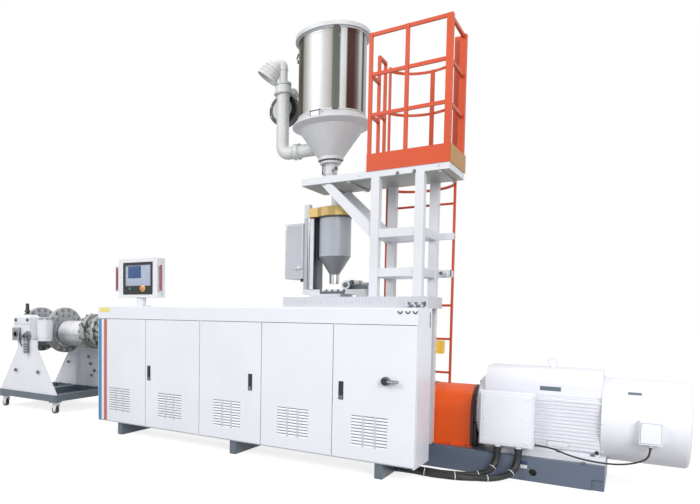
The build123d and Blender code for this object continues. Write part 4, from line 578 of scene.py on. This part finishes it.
def route(name, points):
    curve = bpy.data.curves.new(name, "CURVE")
    curve.dimensions = "3D"
    curve.resolution_u = 16
    spline = curve.splines.new("NURBS")
    spline.points.add(len(points) - 1)
    for p, co in zip(spline.points, points):
        p.co = (*co, 1)
    spline.order_u = 3
    spline.use_endpoint_u = True
    o = bpy.data.objects.new(name, curve)
    bpy.context.scene.collection.objects.link(o)
    return o


def cord(o, node, points, length, path=None):
    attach(o, BODY)
    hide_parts(node)
    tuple(points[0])


def bundle(name, node, points, length):
    line = route(name + "_line", points)
    flat = bpy.data.meshes.new_from_object(line)
    line_points = [v.co.copy() for v in flat.vertices]
    bpy.data.objects.remove(line)
    p = Piece(name, RUBBER)
    rings = []
    run = 0.0
    previous = line_points[0]
    for place, side, other in sections(line_points):
        run += (place - previous).length
        previous = place
        ring = []
        for a in turns(40):
            lobe = abs(math.cos((a - run * TWIST) * STRANDS / 2))
            r = BUNDLE_DIAMETER / 2 * (0.8 + 0.2 * lobe ** 0.6)
            ring.append(p.bm.verts.new(rim(place, side, other, r, a) * 1000))
        rings.append(ring)
    p.skin(rings)
    o = p.done(angle=80)
    cord(o, node, points, length, [tuple(v) for v in line_points])
    return line_points


def relief(name, tip, root, radius, root_radius):
    axis = Vector(tip) - Vector(root)
    length = axis.length
    p = Piece(name, BLACK)
    p.lathe([(0, 0), (0, root_radius), (length * 0.2, root_radius), (length * 0.25, root_radius * 0.86),
             (length * 0.9, radius * 1.06), (length, radius * 0.98), (length, 0)], root, axis, 0, 32)
    return p.done()


def tie(name, place, along, radius):
    p = Piece(name, PALE)
    outer = radius + 1.6
    p.lathe([(-3, radius), (-3, outer), (3, outer), (3, radius), (-3, radius)], place, along, 0, 32)
    return p.done()


MAIN_1 = [(2.748, -0.090, 0.275), (2.748, -0.090, 0.155), (2.708, -0.160, 0.060), (2.600, -0.270, 0.032),
          (2.410, -0.345, 0.030), (2.160, -0.375, 0.038), (1.990, -0.375, 0.038)]
MAIN_2 = [(2.911, -0.090, 0.275), (2.911, -0.090, 0.155), (2.871, -0.160, 0.060), (2.763, -0.270, 0.032),
          (2.560, -0.375, 0.030), (2.370, -0.440, 0.030), (2.160, -0.450, 0.038), (1.990, -0.450, 0.038)]
FAN = [(3.030, -0.085, 0.320), (3.140, -0.085, 0.320), (3.300, -0.085, 0.262), (3.480, -0.085, 0.240),
       (3.640, -0.085, 0.246), (3.765, -0.085, 0.290), (3.815, -0.085, 0.340), (3.815, -0.085, 0.410)]

for number, points in (("1", MAIN_1), ("2", MAIN_2)):
    start = [c * 1000 for c in points[0]]
    end = [c * 1000 for c in points[-1]]
    near = relief(f"main_relief_{number}", (start[0], start[1], start[2] - 45), start, 28, 34)
    far = relief(f"entry_relief_{number}", (end[0] + 45, end[1], end[2]), end, 28, 33)
    node = f"main_cable_{number}"
    line = bundle(f"main_bundle_{number}", node, points, LENGTHS[node])
    for k, share in enumerate((0.24, 0.46, 0.66, 0.86)):
        i = int(share * (len(line) - 1))
        tie(f"tie_{number}_{k}", line[i] * 1000, line[i + 1] - line[i - 1], 28)
start = [c * 1000 for c in FAN[0]]
end = [c * 1000 for c in FAN[-1]]
fan_near = relief("fan_relief_near", (start[0] + 28, start[1], start[2]), start, 7, 11)
fan_far = relief("fan_relief_far", (end[0], end[1], end[2] - 28), end, 7, 11)
fan_line = route("fan_lead", FAN)
fan_line.data.bevel_depth = LEAD_DIAMETER / 2
fan_line.data.bevel_resolution = 5
fan_line.data.materials.append(RUBBER)
cord(fan_line, "fan_cable", FAN, LENGTHS["fan_cable"])


# Cabinet: stripes on the first door, flush handles, louvres with painted shade, hinge caps, plain marks,
# water fittings

p = Piece("door_stripes", SKY_FILM, BLUE_FILM, SALMON)
for x0, x1, colour in ((-1396, -1390, 0), (-1390, -1342, 1), (-1306, -1256, 2)):
    p.box((x0 + 0.4, -801.0, 151), (x1, -799.6, 1309), colour, 0.3)
p.done("door_1")

for number, x in ((2, -620), (3, 670), (5, 1600)):
    p = Piece(f"door_handle_{number}", BLACK, BOLT)
    p.box((x - 22, -804, 655), (x + 22, -799.4, 815), 0, 1.8)
    p.box((x - 13, -807.5, 700), (x + 13, -803, 800), 0, 3)
    p.knob((9, 8), (2.4, 3.2), (x, -804, 676), FRONT, 1, 28)
    p.box((x - 17, -805.4, 660), (x + 17, -803.4, 692), 1, 0.8)
    p.done(f"door_{number}")

for number in range(1, 6):
    x = FIRST_DOOR + DOOR_WIDTH * (number - 1)
    # Black fills in the louvres' slots and greyer strips between their columns: painted shade
    p = Piece(f"louvre_{number}", LOUVRE, BLACK)
    for k in (1, 2):
        middle = x + 180 + 320 * k / 3
        p.box((middle - 9, -800.9, 262), (middle + 9, -794.5, 538), 0, 0.4)
    for i in range(10):
        z = 265 + 27 * (i + 0.5)
        for k in range(3):
            left = x + 180 + 320 * k / 3 + (9 if k else 0)
            right = x + 180 + 320 * (k + 1) / 3 - (9 if k < 2 else 0)
            p.box((left + 2, -799.6, z + 4.5), (right - 2, -793.6, z + 8.4), 1, 0.2)
    p.done(f"door_{number}")
    p = Piece(f"hinge_caps_{number}", ZINC)
    side = x + 9 if number in (1, 3) else x + DOOR_WIDTH - 9
    for z in (149.8, 1310.2):
        p.lathe([(-0.8, 0), (-0.8, 6), (0.8, 6), (0.8, 0)], (side, -795, z), UP, 0, 20)
    p.done(BODY)

p = Piece("isolator_face", BLACK, PALE)
p.knob((30, 28), (2, 3), (2000, -848.2, 845), REAR, 0, 40)
for k in range(3):
    p.box((2020 + 30 * k, -848.4, 842.5), (2040 + 30 * k, -847.4, 847.5), 1, 0.3)
p.done("isolator")

p = Piece("band_labels", STRAW, NAVY)
p.box((-1372, -801, 1388), (-1209, -799.6, 1440), 0, 0.5)
for x in (2104, 2168, 2228):
    angles = [math.pi * (1 + i / 16) for i in range(17)]
    cup = [(x + 21 * math.cos(a), 1430 + 26 * math.sin(a)) for a in angles]
    hollow = [(x + 12 * math.cos(a), 1430 + 15 * math.sin(a)) for a in angles[::-1]]
    p.prism(cup + hollow, -806, -799, 1, 0.8)
p.done(BODY)

p = Piece("water_fittings", ZINC, DARK, BLACK)
p.tube([(2106, -600, 1474), (2236, -600, 1474)], 11, 1, 16)
for x in (2112, 2170, 2228):
    p.box((x - 12, -614, 1453.5), (x + 12, -586, 1464), 0, 1.5)
    p.lathe([(0, 0), (0, 9), (20, 9), (20, 13), (32, 13), (34, 11), (34, 0)], (x, -600, 1472), UP, 1, 24)
    p.lathe([(0, 0), (0, 9), (14, 9), (14, 12), (26, 12), (26, 0)], (x, -610, 1474), FRONT, 0, 24)
p.tube([(2236, -600, 1474), (2243, -600, 1474), (2246, -600, 1480), (2246, -600, 1510)], 6, 2, 12)
p.done(BODY)

p = Piece("end_hinges", DARK, ZINC)
p.box((2249.2, -463, 1288), (2251.6, -437, 1418), 0, 0.6)
for z in (1300, 1353, 1406):
    p.knob((6, 5), (2.2, 2.8), (2251.4, -450, z), RIGHT, 1, 18)
p.done(BODY)

p = Piece("cabinet_plinth_bolts", BOLT)
p.grid((-1033, 502), (-690, -500), (133.6,), DOWN, 12)
p.done(BODY)


# Operator panel: bezel, display, buttons and side grips

p = Piece("panel_bezel", BLACK, GLASS, WINDOW, GREEN)
p.frame((-1122.5, 1586.5, -677.5, 1946.5), (-1089, 1685, -711, 1917), -680.4, -674.6, 0)
p.box((-1089.4, -673.6, 1684.6), (-710.6, -671.2, 1917.4), 1, 0.2)
p.box((-1050, -674.4, 1770), (-855, -673, 1902), 2, 0.2)
p.box((-1080, -674.2, 1905), (-860, -673.2, 1911), 2, 0.2)
p.knob((18.5, 17), (3, 4), (-1015, PANEL_FRONT, 1654), FRONT, 0, 32)
p.knob((17, 15), (11, 12.5), (-1015, -674, 1654), FRONT, 3, 32)
p.done("hmi_head")
p = Piece("stop_button", YELLOW, AMBER)
p.knob((36, 34), (2, 3), (-823, PANEL_FRONT, 1654), FRONT, 0, 40)
mushroom = [(0, 0), (0, 16), (12, 16), (12, 25), (20, 26.5), (26, 23), (29, 15), (30, 0)]
p.lathe(mushroom, (-823, PANEL_FRONT, 1654), FRONT, 1, 40)
p.done("hmi_head")
p = Piece("panel_grips", MAROON, ZINC)
for side in (-1, 1):
    x = PANEL_X + side * 328
    p.box((x - 11.5, -681, 1628), (x + 11.5, -658.8, 1907), 0, 5)
    for z in (1640, 1895):
        p.box((min(x, x - side * 38), -680.6, z - 10.8), (max(x, x - side * 38), -659.2, z + 10.8), 1, 2)
p.done("hmi_head")
p = Piece("panel_seams", DARK, ZINC)
for side in (-1, 1):
    x = PANEL_X + side * 290.4
    p.box((x - 0.6, -600, 1566), (x + 0.6, -597, 1978), 0, 0.2)
for x in (-1180, -620):
    for z in (1568, 1976):
        p.knob((5, 3.5), (1.5, 2.4), (x, PANEL_FRONT, z), FRONT, 1, 20)
for k in range(9):
    p.box((-1000 + 22 * k, -550.4, 1900), (-990 + 22 * k, -549.4, 1950), 0, 0.2)
p.done("hmi_head")


# Feeder: column strips, bands, ring bolts, knobs, slide drive, painted shadow at the throat

p = Piece("column_strips", BLACK, ZINC, DARK, GREY, PALE)
p.box((728.8, 168.6, 1652), (772, 171, 2414), 3, 0.6)
p.box((773, 168.2, 1652), (779, 171, 2414), 0, 0.6)
p.box((779.5, 168.8, 1652), (791, 230, 2412), 1, 0.6)
p.box((791.5, 176, 1652), (842, 226, 2412), 4, 3)
p.box((843, 180, 1652), (849, 220, 2412), 0, 0.6)
p.box((794, 232, 1652), (852, 385, 2412), 2, 2)
p.done(BODY)
p = Piece("vessel_bands", DARK, ZINC, SLATE)
p.band((160, 171), 14, (*VESSEL, 2402), UP, 0, 72)
p.band((160, 169), 5, (*VESSEL, 2040), UP, 2, 72)
p.band((160, 168.5), 4, (*VESSEL, 1998), UP, 2, 72)
p.band((40, 52), 95, (*VESSEL, 1715.4), UP, 1, 48)
p.done(BODY)
p = Piece("ring_trim", BOLT)
for a in turns(16, 0.5):
    p.bolt((*around(VESSEL, 183, a), 2510), UP, 9)
p.done(BODY)
p = Piece("feeder_knobs", BLACK, ZINC, PALE)
for x, z, r, m in ((650, 1880, 13, 1), (680, 1886, 16, 2), (714, 1880, 12, 1)):
    profile = [(0, 0), (0, r + 3), (2, r + 3), (2, r), (15, r), (18, r * 0.8), (18, 0)]
    p.lathe(profile, (x, 150, z), FRONT, m, 32)
p.knob((22, 20), (31, 33), (700, 200, 1771), DOWN, 0, 32)
p.frame((520, 1780, 720, 2350), (526, 1786, 714, 2344), 148.8, 150.4, 1)
for z in (1850, 2280):
    p.box((511, 148.6, z), (523, 150.4, z + 46), 1, 0.5)
p.done(BODY)
p = Piece("slide_drive", HEATER, BOLT, DARK)
drive = [(0, 0), (0, 24), (10, 46), (26, 46.5), (28, 46), (96, 46), (98, 46.5), (148, 46.5), (150, 40),
         (150, 0)]
p.lathe(drive, (1220, 148, 1695), REAR, 2, 40)
p.box((1268, 222, 1694), (1431.5, 378, 1703), 2, 2)
p.box((1290, 200, 1700), (1350, 300, 1742), 0, 6)
p.box((1356, 220, 1700), (1420, 290, 1722), 0, 4)
p.knob((20, 15), (34, 38), (1250, 250, 1712), UP, 2, 28)
p.grid((1180, 1410), (225,), (1620, 1674), FRONT, 12, 1)
p.box((1168, 222.6, 1602), (1432, 224.8, 1692), 2, 0.6)
p.done(BODY)
# A dark plate between the rails and a dark strip on the rail's front: painted shadow under the vessel
p = Piece("throat_shade_and_bolts", DARK, BOLT)
p.box((882, 203, 1600.6), (1128, 397, 1634), 0, 3)
p.box((934, 148.4, 1604), (1216, 150.8, 1630), 0, 0.8)
p.grid((945, 1010, 1075, 1140, 1205), (148.6,), (1640,), FRONT, 10, 1)
p.done(BODY)


# Deck edge trim, tower fixings, and painted shade under the platform

p = Piece("deck_trim", DECKING, GREY)
p.box((852, -497.2, 1478), (2238, -490.5, 1532), 0, 0.5)
p.box((850.6, -501.6, 1546), (2239.4, -499.4, 1554.4), 0, 0.8)
for k in range(46):
    p.box((880 + 28 * k, -498.2, 1500), (894 + 28 * k, -496.9, 1508), 1, 0.3)
p.done(BODY)
p = Piece("tower_bolts", BOLT, ZINC)
for x in (1715, 2105):
    for y in (-493, -47):
        for dx, dy in ((16, 16), (59, 16), (16, 59), (59, 59)):
            if y < -100 or dy < 40:
                p.bolt((x + dx, y + dy, 1567.4), UP, 9)
p.grid((1950, 2095), (-493,), (2622,), FRONT, 13)
p.grid((1150, 1600, 2300), (-493,), (2641,), FRONT, 9, 1)
p.done(BODY)
# A grey sheet and bars under the platform: painted shade of its underside
p = Piece("platform_shade_sheet", UNDERSIDE_SHADE)
p.box((1032, -485, 2604.5), (2375, 20, 2608.8), 0, 0.6)
for x in (1240, 1480, 2290):
    p.box((x, -480, 2590), (x + 30, 15, 2606), 0, 1)
p.done(BODY)
p = Piece("post_feet", CREAM)
for x in (1715, 2105):
    p.box((x - 7, -497, 1555.4), (x + 82, -411, 1567.4), 0, 1.5)
p.done(BODY)
p = Piece("ladder_bracket", CREAM, BOLT)
p.box((2178, 20, 1750), (2294, 28.4, 1810), 0, 1.2)
p.box((2286, 20, 1750), (2294, 62, 1810), 0, 1.2)
p.bolt((2205, 20, 1780), FRONT, 13, 1)
p.box((2272, -60, 1744), (2282, 26, 1800), 0, 1.2)
p.done(BODY)


# Dryer: hoops, latches, hatch, neck bolts, valve, a painted dark reflection on the neck

p = Piece("drum_trim", CONE, DRUM)
p.hoop(DRYER, 4226, DRUM_RADIUS, 14, 3, 1)
p.hoop(DRYER, 4254, DRUM_RADIUS, 10.5, 12)
p.hoop(DRYER, 3450.5, DRUM_RADIUS, 13, 5)
p.hoop(DRYER, 4280, 384, 6, 6)
p.lathe([(0, 250), (4, 250), (4, 240), (0, 240)], (*DRYER, 4332), UP, 0, 72)
p.done(BODY)


def latch(p, degrees, z, size):
    a = math.radians(degrees)
    out = Vector((math.cos(a), math.sin(a), 0))
    side = Vector((-math.sin(a), math.cos(a), 0))
    foot = Vector((*DRYER, z)) + out * DRUM_RADIUS
    for low, high, r in ((-34, -8, 7), (10, 40, 5)):
        p.tube([foot + out * 9 * size + Vector((0, 0, end * size)) for end in (low, high)], r * size, 0, 12)
    rise = Vector((0, 0, 44 * size))
    low, high = foot - side * 12 * size, foot + side * 12 * size
    bow = [low + out * 6 + rise, low + out * 20 * size, high + out * 20 * size, high + out * 6 + rise]
    p.tube(bow, 3 * size, 0, 8)


p = Piece("drum_latches", BOLT)
for degrees, z, size in ((-56, 4196, 1.0), (-158, 4110, 1.3), (60, 4196, 1.0), (150, 4196, 1.0)):
    latch(p, degrees, z, size)
p.done(BODY)
p = Piece("hatch_cover", WHITE, BLACK, BOLT)
p.box((904, -99.2, 3380), (1020, -97.4, 3448), 0, 0.8)
p.box((900, -99.2, 3434), (1024, -97.2, 3446), 1, 0.6)
for x in (1012, 912):
    p.tube([(x, -100, 3384), (x, -104, 3392), (x, -104, 3440), (x, -100, 3448)], 4, 2, 10)
p.done(BODY)
p = Piece("neck_fittings", CONE, DARK, BOLT, BLACK)
for a in turns(12, 0.5):
    p.bolt((*around(DRYER, 118, a), 3020.4), DOWN, 11, 2)
p.tube([(1010, 250, 2906), (1064, 196, 2906)], 10, 1, 16)
p.box((1056, 182, 2884), (1092, 204, 2932), 3, 4)
p.band((66, 74), 22, (*DRYER, 2870), UP, 0, 48)
# A black strip down the neck's left edge: painted reflection
p.box((895.2, 229, 2870), (903, 252, 2980), 3, 1)
p.done(BODY)


# Air duct: coupling rings, horn lips with painted shade in the mouth, blower face and filter

p = Piece("duct_rings", DUCT, ZINC, DARK)
p.hoop(DUCT_PIPE, 3936, 84, 10, 5, 0, 56)
p.hoop(DUCT_PIPE, 3916, 86, 5, 4, 2, 56)
p.hoop(DUCT_PIPE, 3832, 97, 8, 5, 0, 56)
p.hoop(DUCT_PIPE, 4090, 46, 10, 6, 0, 48)
for x, r in ((536, 88), (582, 88), (604, 76)):
    p.band((66, r), 7, (x, 300, 3172), RIGHT, 0, 56)
p.bolts((*DUCT_PIPE, 3946), 78, 6, UP, 8, 1)
p.done(BODY)
mouth = Vector((195, 235, 4020))
out = (mouth - Vector((*DUCT_PIPE, 4270))).normalized()
p = Piece("horn_lips", DUCT, DARK)
for back, r, depth in ((8, 124, 8), (48, 117, 4), (84, 110, 4), (120, 103, 4)):
    p.band((r - 8, r + 1.5), depth, mouth - out * back, out, 0, 64)
# A dark disc inside the horn's mouth: painted shade
p.band((0, 84), 2, mouth - out * 39, out, 1, 48)
for r in (30, 55):
    p.lathe([(0, r - 3), (0, r + 3), (3, r + 3), (3, r - 3), (0, r - 3)], mouth - out * 37, out, 0, 48)
p.done(BODY)
p = Piece("blower_face", DUCT, BLACK, BOLT, CONE)
face = [(0, 0), (0, 122), (-3, 122), (-6, 112), (-2, 96), (-2, 40), (-8, 34), (-8, 0)]
p.lathe(face, (308, 403, 3706), REAR, 0, 72)
p.lathe([(0, 130), (-3, 132), (-3, 166), (0, 168), (4, 168), (4, 130)], (308, 404, 3706), REAR, 1, 72)
p.bolts((308, 401, 3706), 149, 8, FRONT, 9, 2, 0.5)
p.lathe([(0, 0), (0, 66), (60, 50), (66, 42), (66, 0)], (404, 470, 3862), (0.35, -0.6, 0.3), 3, 40)
p.band((50, 60), 90, (404, 470, 3800), UP, 3, 40)
p.done(BODY)


# Drive: coupling guard edges, painted shade in the gap to the motor, motor lid, plates, bolts, fan grille

def arch(radius):
    centre = (300, 510)
    bow = [around(centre, radius, math.pi * (1 - i / 40)) for i in range(1, 40)]
    return [(300 - radius, 214), (300 - radius, 510), *bow, (300 + radius, 510), (300 + radius, 214)]


# Black edging at both ends of the coupling guard, partly real trim; the wider right one also paints the shade
# of the gap to the motor
p = Piece("guard_edges", BLACK, BOLT)
for x0, x1 in ((2125.4, 2137), (2489, 2509.6)):
    points = [(x, y, z) for x in (x0, x1) for y, z in arch(241) + arch(238)]
    n = len(points) // 4
    loops = []
    for i in range(n - 1):
        loops += [(i, i + 1, n + i + 1, n + i), (2 * n + i, 3 * n + i, 3 * n + i + 1, 2 * n + i + 1),
                  (i, 2 * n + i, 2 * n + i + 1, i + 1), (n + i, n + i + 1, 3 * n + i + 1, 3 * n + i)]
    p.faces(points, loops, 0)
p.grid((2160, 2310, 2460), (45, 555), (213,), UP, 10, 1)
p.done(BODY)
# A black disc and block between the guard and the motor: painted shade of the gap
p = Piece("guard_gap_shade", BLACK)
p.lathe([(0, 60), (0, 228), (24, 228), (28, 220), (28, 60)], (2512, 300, 512), RIGHT, 0, 64)
p.box((2514, 78, 206), (2538, 522, 420), 0, 2)
p.done(BODY)
p = Piece("shield_bolts", BOLT, MOTOR)
p.lathe([(0, 150), (0, 160), (-9, 160), (-12, 152), (-12, 90), (0, 90)], (2546, *MOTOR_AXIS), RIGHT, 1, 64)
p.bolts((2546, *MOTOR_AXIS), 262, 8, LEFT, 13, 0, 0.5)
p.band((293, 297.5), 12, (2592, *MOTOR_AXIS), RIGHT, 1, 96)
p.done(BODY)
p = Piece("terminal_lid", MOTOR, PALE)
p.box((2628, -135.6, 310), (2996, -129.4, 724), 0, 3)
p.grid((2650, 2974), (-135.4,), (332, 517, 702), FRONT, 9)
p.box((2940, -136.6, 672), (2974, -135.4, 680), 1, 0.3)
p.done(BODY)
p = Piece("motor_plates", DARK, PALE, ZINC, BOLT, MOTOR, BLACK)
p.box((3042, 43.6, 770), (3198, 45.2, 806), 0, 0.5)
for x in (3047, 3193):
    p.lathe([(0, 0), (0, 2.4), (0.9, 2), (0.9, 0)], (x, 43.6, 788), FRONT, 2, 12)
p.box((3115, -1.6, 312), (3266, 0.6, 355), 1, 0.5)
for z in (688, 712, 728):
    p.box((2616, 43.4, z), (3486, 45.4, z + 5), 4, 0.8)
p.grid((2770, 2920, 3200, 3440), (22, 88), (264.6,), UP, 16, 3)
p.grid((2640, 2900, 3200, 3460), (45,), (745,), FRONT, 9, 4)
p.knob((16, 13), (6, 8), (3470, -0.6, 300), FRONT, 5, 30)
p.done(BODY)


def wrap(p, x0, x1, low, high, slot, proud=1.2, steps=10):
    y, z = MOTOR_AXIS
    angles = [low + (high - low) * i / steps for i in range(steps + 1)]
    radii = (HOOD_RADIUS - 0.6, HOOD_RADIUS + proud)
    points = [(x, y - r * math.cos(a), z + r * math.sin(a)) for a in angles for x in (x0, x1) for r in radii]
    loops = [(0, 1, 3, 2), (4 * steps, 4 * steps + 2, 4 * steps + 3, 4 * steps + 1)]
    for b in range(0, 4 * steps, 4):
        loops += [(b, b + 4, b + 5, b + 1), (b + 2, b + 3, b + 7, b + 6),
                  (b + 1, b + 5, b + 7, b + 3), (b, b + 2, b + 6, b + 4)]
    p.faces(points, loops, slot)


p = Piece("fin_webs", MOTOR)
for i in range(15):
    low, high = max(280 + 30 * i, 292), min(300 + 30 * i, 708)
    for y in (12, 546):
        p.box((2612, y, low), (3488, y + 42, high), 0, 4)
p.done(BODY)
p = Piece("cowl_details", DARK, PALE, MOTOR)
wrap(p, 3660, 3750, 0.755, 0.835, 0)
wrap(p, 3792, 3867, 0.225, 0.32, 1)
wrap(p, 3491, 3512, -1.2, math.pi + 1.2, 2, 2.4, 64)
wrap(p, 4018, 4026, -1.2, math.pi + 1.2, 2, 1.4, 64)
for a in turns(8):
    p.bolt((3502, *around(MOTOR_AXIS, HOOD_RADIUS + 2, a)), (0, math.cos(a), math.sin(a)), 9, 2)
p.box((3750, -121.4, 440), (3880, -116.4, 596), 2, 2)
p.grid((3760, 3870), (-121,), (450, 586), FRONT, 7, 2)
p.done(BODY)
p = Piece("fan_grille", BOLT)
for r in (60, 100, 140, 180, 220):
    p.tube([(4064, *around(MOTOR_AXIS, r, a)) for a in turns(64)], 2.2, 0, 8, True)
for a in turns(8):
    p.tube([(4066, *around(MOTOR_AXIS, r, a)) for r in (30, 238)], 2.6, 0, 8)
p.done(BODY)
p = Piece("base_details", BLACK, NAVY, BOLT, PALE)
p.band((0, 31.6), 4, (3020, 2, 78), FRONT, 0, 40)
p.lathe([(0, 31), (0, 37), (-2.5, 36), (-2.5, 31)], (3020, -54.6, 78), REAR, 2, 40)
p.box((2926, -56.4, 104), (2978, -54.8, 134), 3, 0.4)
p.box((2926, -56.4, 135), (2978, -54.8, 166), 1, 0.4)
p.grid((2200, 2600, 3380), (-40,), (204.6,), UP, 18, 2)
p.done(BODY)
p = Piece("gearbox_details", BOLT, BLUE, ZINC)
p.grid((1290, 1370, 1450, 1530, 1610), (-8, 608), (1121,), UP, 18)
p.grid((1720, 1880, 2040), (52, 548), (565,), UP, 16)
p.knob((150, 144), (16, 20), (1659, *BARREL_AXIS), RIGHT, 1, 56)
p.bolts((1678, *BARREL_AXIS), 128, 10, RIGHT, 14, 0)
p.knob((34, 22), (8, 30), (1455, 300, 1400), UP, 2, 32)
p.done(BODY)


# Die cart: bolts, painted highlight on the top edges, fittings, disc bolts, bands

p = Piece("cart_bolts", BOLT)
p.grid((-3513, -3029), (-370,), (549,), FRONT, 22)
for x, z in ((-3540, 598), (-3094, 699), (-3052, 597), (-2970, 498), (-3028, 424)):
    p.bolt((x, 610, z), FRONT, 20)
p.grid((-3700, -3500, -3100, -2900), (-330, 596), (255,), UP, 14)
p.done(BODY)
# Lighter strips on the tops of the cart's rim and bar: painted highlight of light from above
p = Piece("cart_top_highlights", EDGE)
p.box((-2752, -298, 254.4), (-2744, 598, 257), 0, 0.8)
p.box((-3826, 594, 254.4), (-2744, 600, 257), 0, 0.8)
p.box((-3400, -298, 254.6), (-3320, 588, 256.6), 0, 0.8)
p.box((-3826, -298, 254.4), (-3820, 598, 257), 0, 0.8)
p.done(BODY)
p = Piece("block_details", BOLT, DARK, ZINC, WHITE, PLATE)
for x, z in ((-3523, 1256), (-3267, 1261)):
    p.knob((25, 21), (10, 13), (x, -349, z), FRONT, 1, 28)
    p.lathe([(12, 0), (12, 14), (22, 14), (24, 11), (24, 0)], (x, -349, z), FRONT, 0, 6)
p.box((-3246, -351.4, 990.5), (-3217, -348.8, 996), 1, 0.4)
p.box((-3568, -351.2, 1196), (-3217, -349.2, 1200), 1, 0.4)
p.band((100, 110), 12, (-3140, -160, 1252), UP, 3, 56)
p.knob((86, 80), (5, 8), (-3140, -160, 1265), UP, 4, 48)
p.bolts((-3140, -160, 1272), 66, 6, UP, 12, 0)
p.band((100, 108.5), 5, (-3140, -160, 1010), UP, 2, 56)
p.done(BODY)
p = Piece("fitting_details", HEATER, DARK, ZINC, BLACK)
p.bolts((-3256, -370, 1036), 56, 8, FRONT, 13, 0, 0.5)
nozzle = [(0, 0), (0, 40), (5, 44), (26, 44), (30, 38), (52, 38), (54, 34), (54, 0)]
p.lathe(nozzle, (-3256, -369, 1036), FRONT, 1, 40)
p.lathe([(0, 0), (0, 22), (10, 20), (10, 0)], (-3256, -423, 1036), FRONT, 3, 28)
for z, r in ((1000, 36), (940, 36), (905, 38), (870, 36), (835, 38)):
    p.band((28, r), 16, (-3256, -386, z - 24), UP, 1, 36)
p.frame((-3560, 967, -3407, 1148), (-3552, 975, -3415, 1140), -391.6, -389.4, 2)
p.grid((-3539.5, -3427.5), (-390,), (987.5, 1127.5), FRONT, 12)
p.lathe([(0, 33), (0, 46), (5, 46), (7, 42), (7, 33)], (-3483.5, -389.8, 1057.5), FRONT, 1, 40)
p.band((0, 31.6), 3, (-3483.5, -356, 1057.5), FRONT, 3, 32)
sleeve = [(0, 20.2), (0, 44), (10, 40), (40, 27), (121, 23), (123.5, 20.2)]
p.lathe(sleeve, (-3392, -255, 1366.2), UP, 3, 40)
hose = [(-3416, -372, 1100), (-3404, -384, 1070), (-3392, -388, 1030), (-3392, -388, 975), (-3380, -384, 930),
        (-3356, -376, 890)]
p.tube(hose, 8, 3, 12)
p.done(BODY)
p = Piece("disc_bolts", PLATE)
for x in (-3790, -3250):
    p.bolts((x + 30, *BARREL_AXIS), 296, 16, RIGHT, 26, 0, 0.5)
    p.band((326, 331.5), 6, (x + 12, *BARREL_AXIS), RIGHT, 0, 96)
    p.knob((246, 240), (7, 10), (x + 30, *BARREL_AXIS), RIGHT, 0, 96)
    p.bolts((x + 39, *BARREL_AXIS), 216, 12, RIGHT, 20)
for x in (-3790, -3250):
    p.bolts((x - 30, *BARREL_AXIS), 296, 16, LEFT, 26, 0, 0.5)
p.done(BODY)
p = Piece("shell_bands", SHELL, DARK)
for x in (-3206, -3090, -2960, -2830, -2700):
    p.band((176, 182.5), 12, (x, 300, 1066), RIGHT, 1 if x < -3200 else 0, 96)
p.box((-3170, 116.6, 1046), (-2720, 120.4, 1050), 1, 0.6)
p.done(BODY)
p = Piece("adapter_bands", HEATER, BOLT, ZINC, BLACK)
for x, r in ((-2664, 242), (-2604, 242), (-2556, 207), (-2512, 207), (-2470, 207), (-2420, 247),
             (-2380, 217), (-2310, 217), (-2240, 217)):
    p.band((r - 6, r), 12, (x, *BARREL_AXIS), RIGHT, 2 if r == 207 else 0, 96)
p.bolts((-2680, *BARREL_AXIS), 222, 16, LEFT, 26, 1)
p.bolts((-2402, *BARREL_AXIS), 232, 14, RIGHT, 24, 1)
for x, a in ((-2570, 200), (-2490, 215), (-2330, 205), (-2250, 220), (-2570, 150), (-2330, 160)):
    t = math.radians(a)
    y, z = 300 + 212 * math.cos(t), 1106 - 212 * math.sin(t)
    p.box((x - 22, y - 22, z - 24), (x + 22, y + 16, z + 24), 3, 4)
    p.bolt((x, y - 22, z), FRONT, 12, 1)
leads = (
    [(-2640, 70, 1230), (-2600, 52, 1180), (-2540, 60, 1120), (-2480, 84, 1060), (-2440, 100, 1010),
     (-2400, 120, 960)],
    [(-2560, 96, 1240), (-2500, 70, 1190), (-2420, 66, 1140), (-2330, 84, 1100), (-2260, 90, 1040)],
    [(-2640, 84, 1010), (-2580, 76, 960), (-2520, 84, 920), (-2460, 110, 890), (-2420, 150, 880)],
)
for lead in leads:
    p.tube(lead, 9, 3, 12)
p.done(BODY)
p = Piece("stand_edges", WHITE)
p.box((-3886, -371, 255.4), (-2674, -369.4, 262), 0, 0.4)
p.done(BODY)
hub = [(0, 0), (0, 30), (1.4, 30), (2.2, 26), (1.2, 14), (2.2, 12), (2.2, 0)]
for number, (x, y) in enumerate(((-3795, -310), (-2705, -310), (-3795, 610), (-2705, 610)), 1):
    p = Piece(f"swivel_{number}", ZINC)
    p.lathe([(0, 0), (0, 30), (3, 34), (7, 34), (7, 0)], (x, y, 137.5), UP, 0, 40)
    p.done(f"caster_fork_{number}")
    p = Piece(f"wheel_hub_{number}", PALE)
    for side in (-1, 1):
        p.lathe(hub, (x - 30, y + side * 21.8, 50), (0, side, 0), 0, 36)
    p.done(f"caster_wheel_{number}")
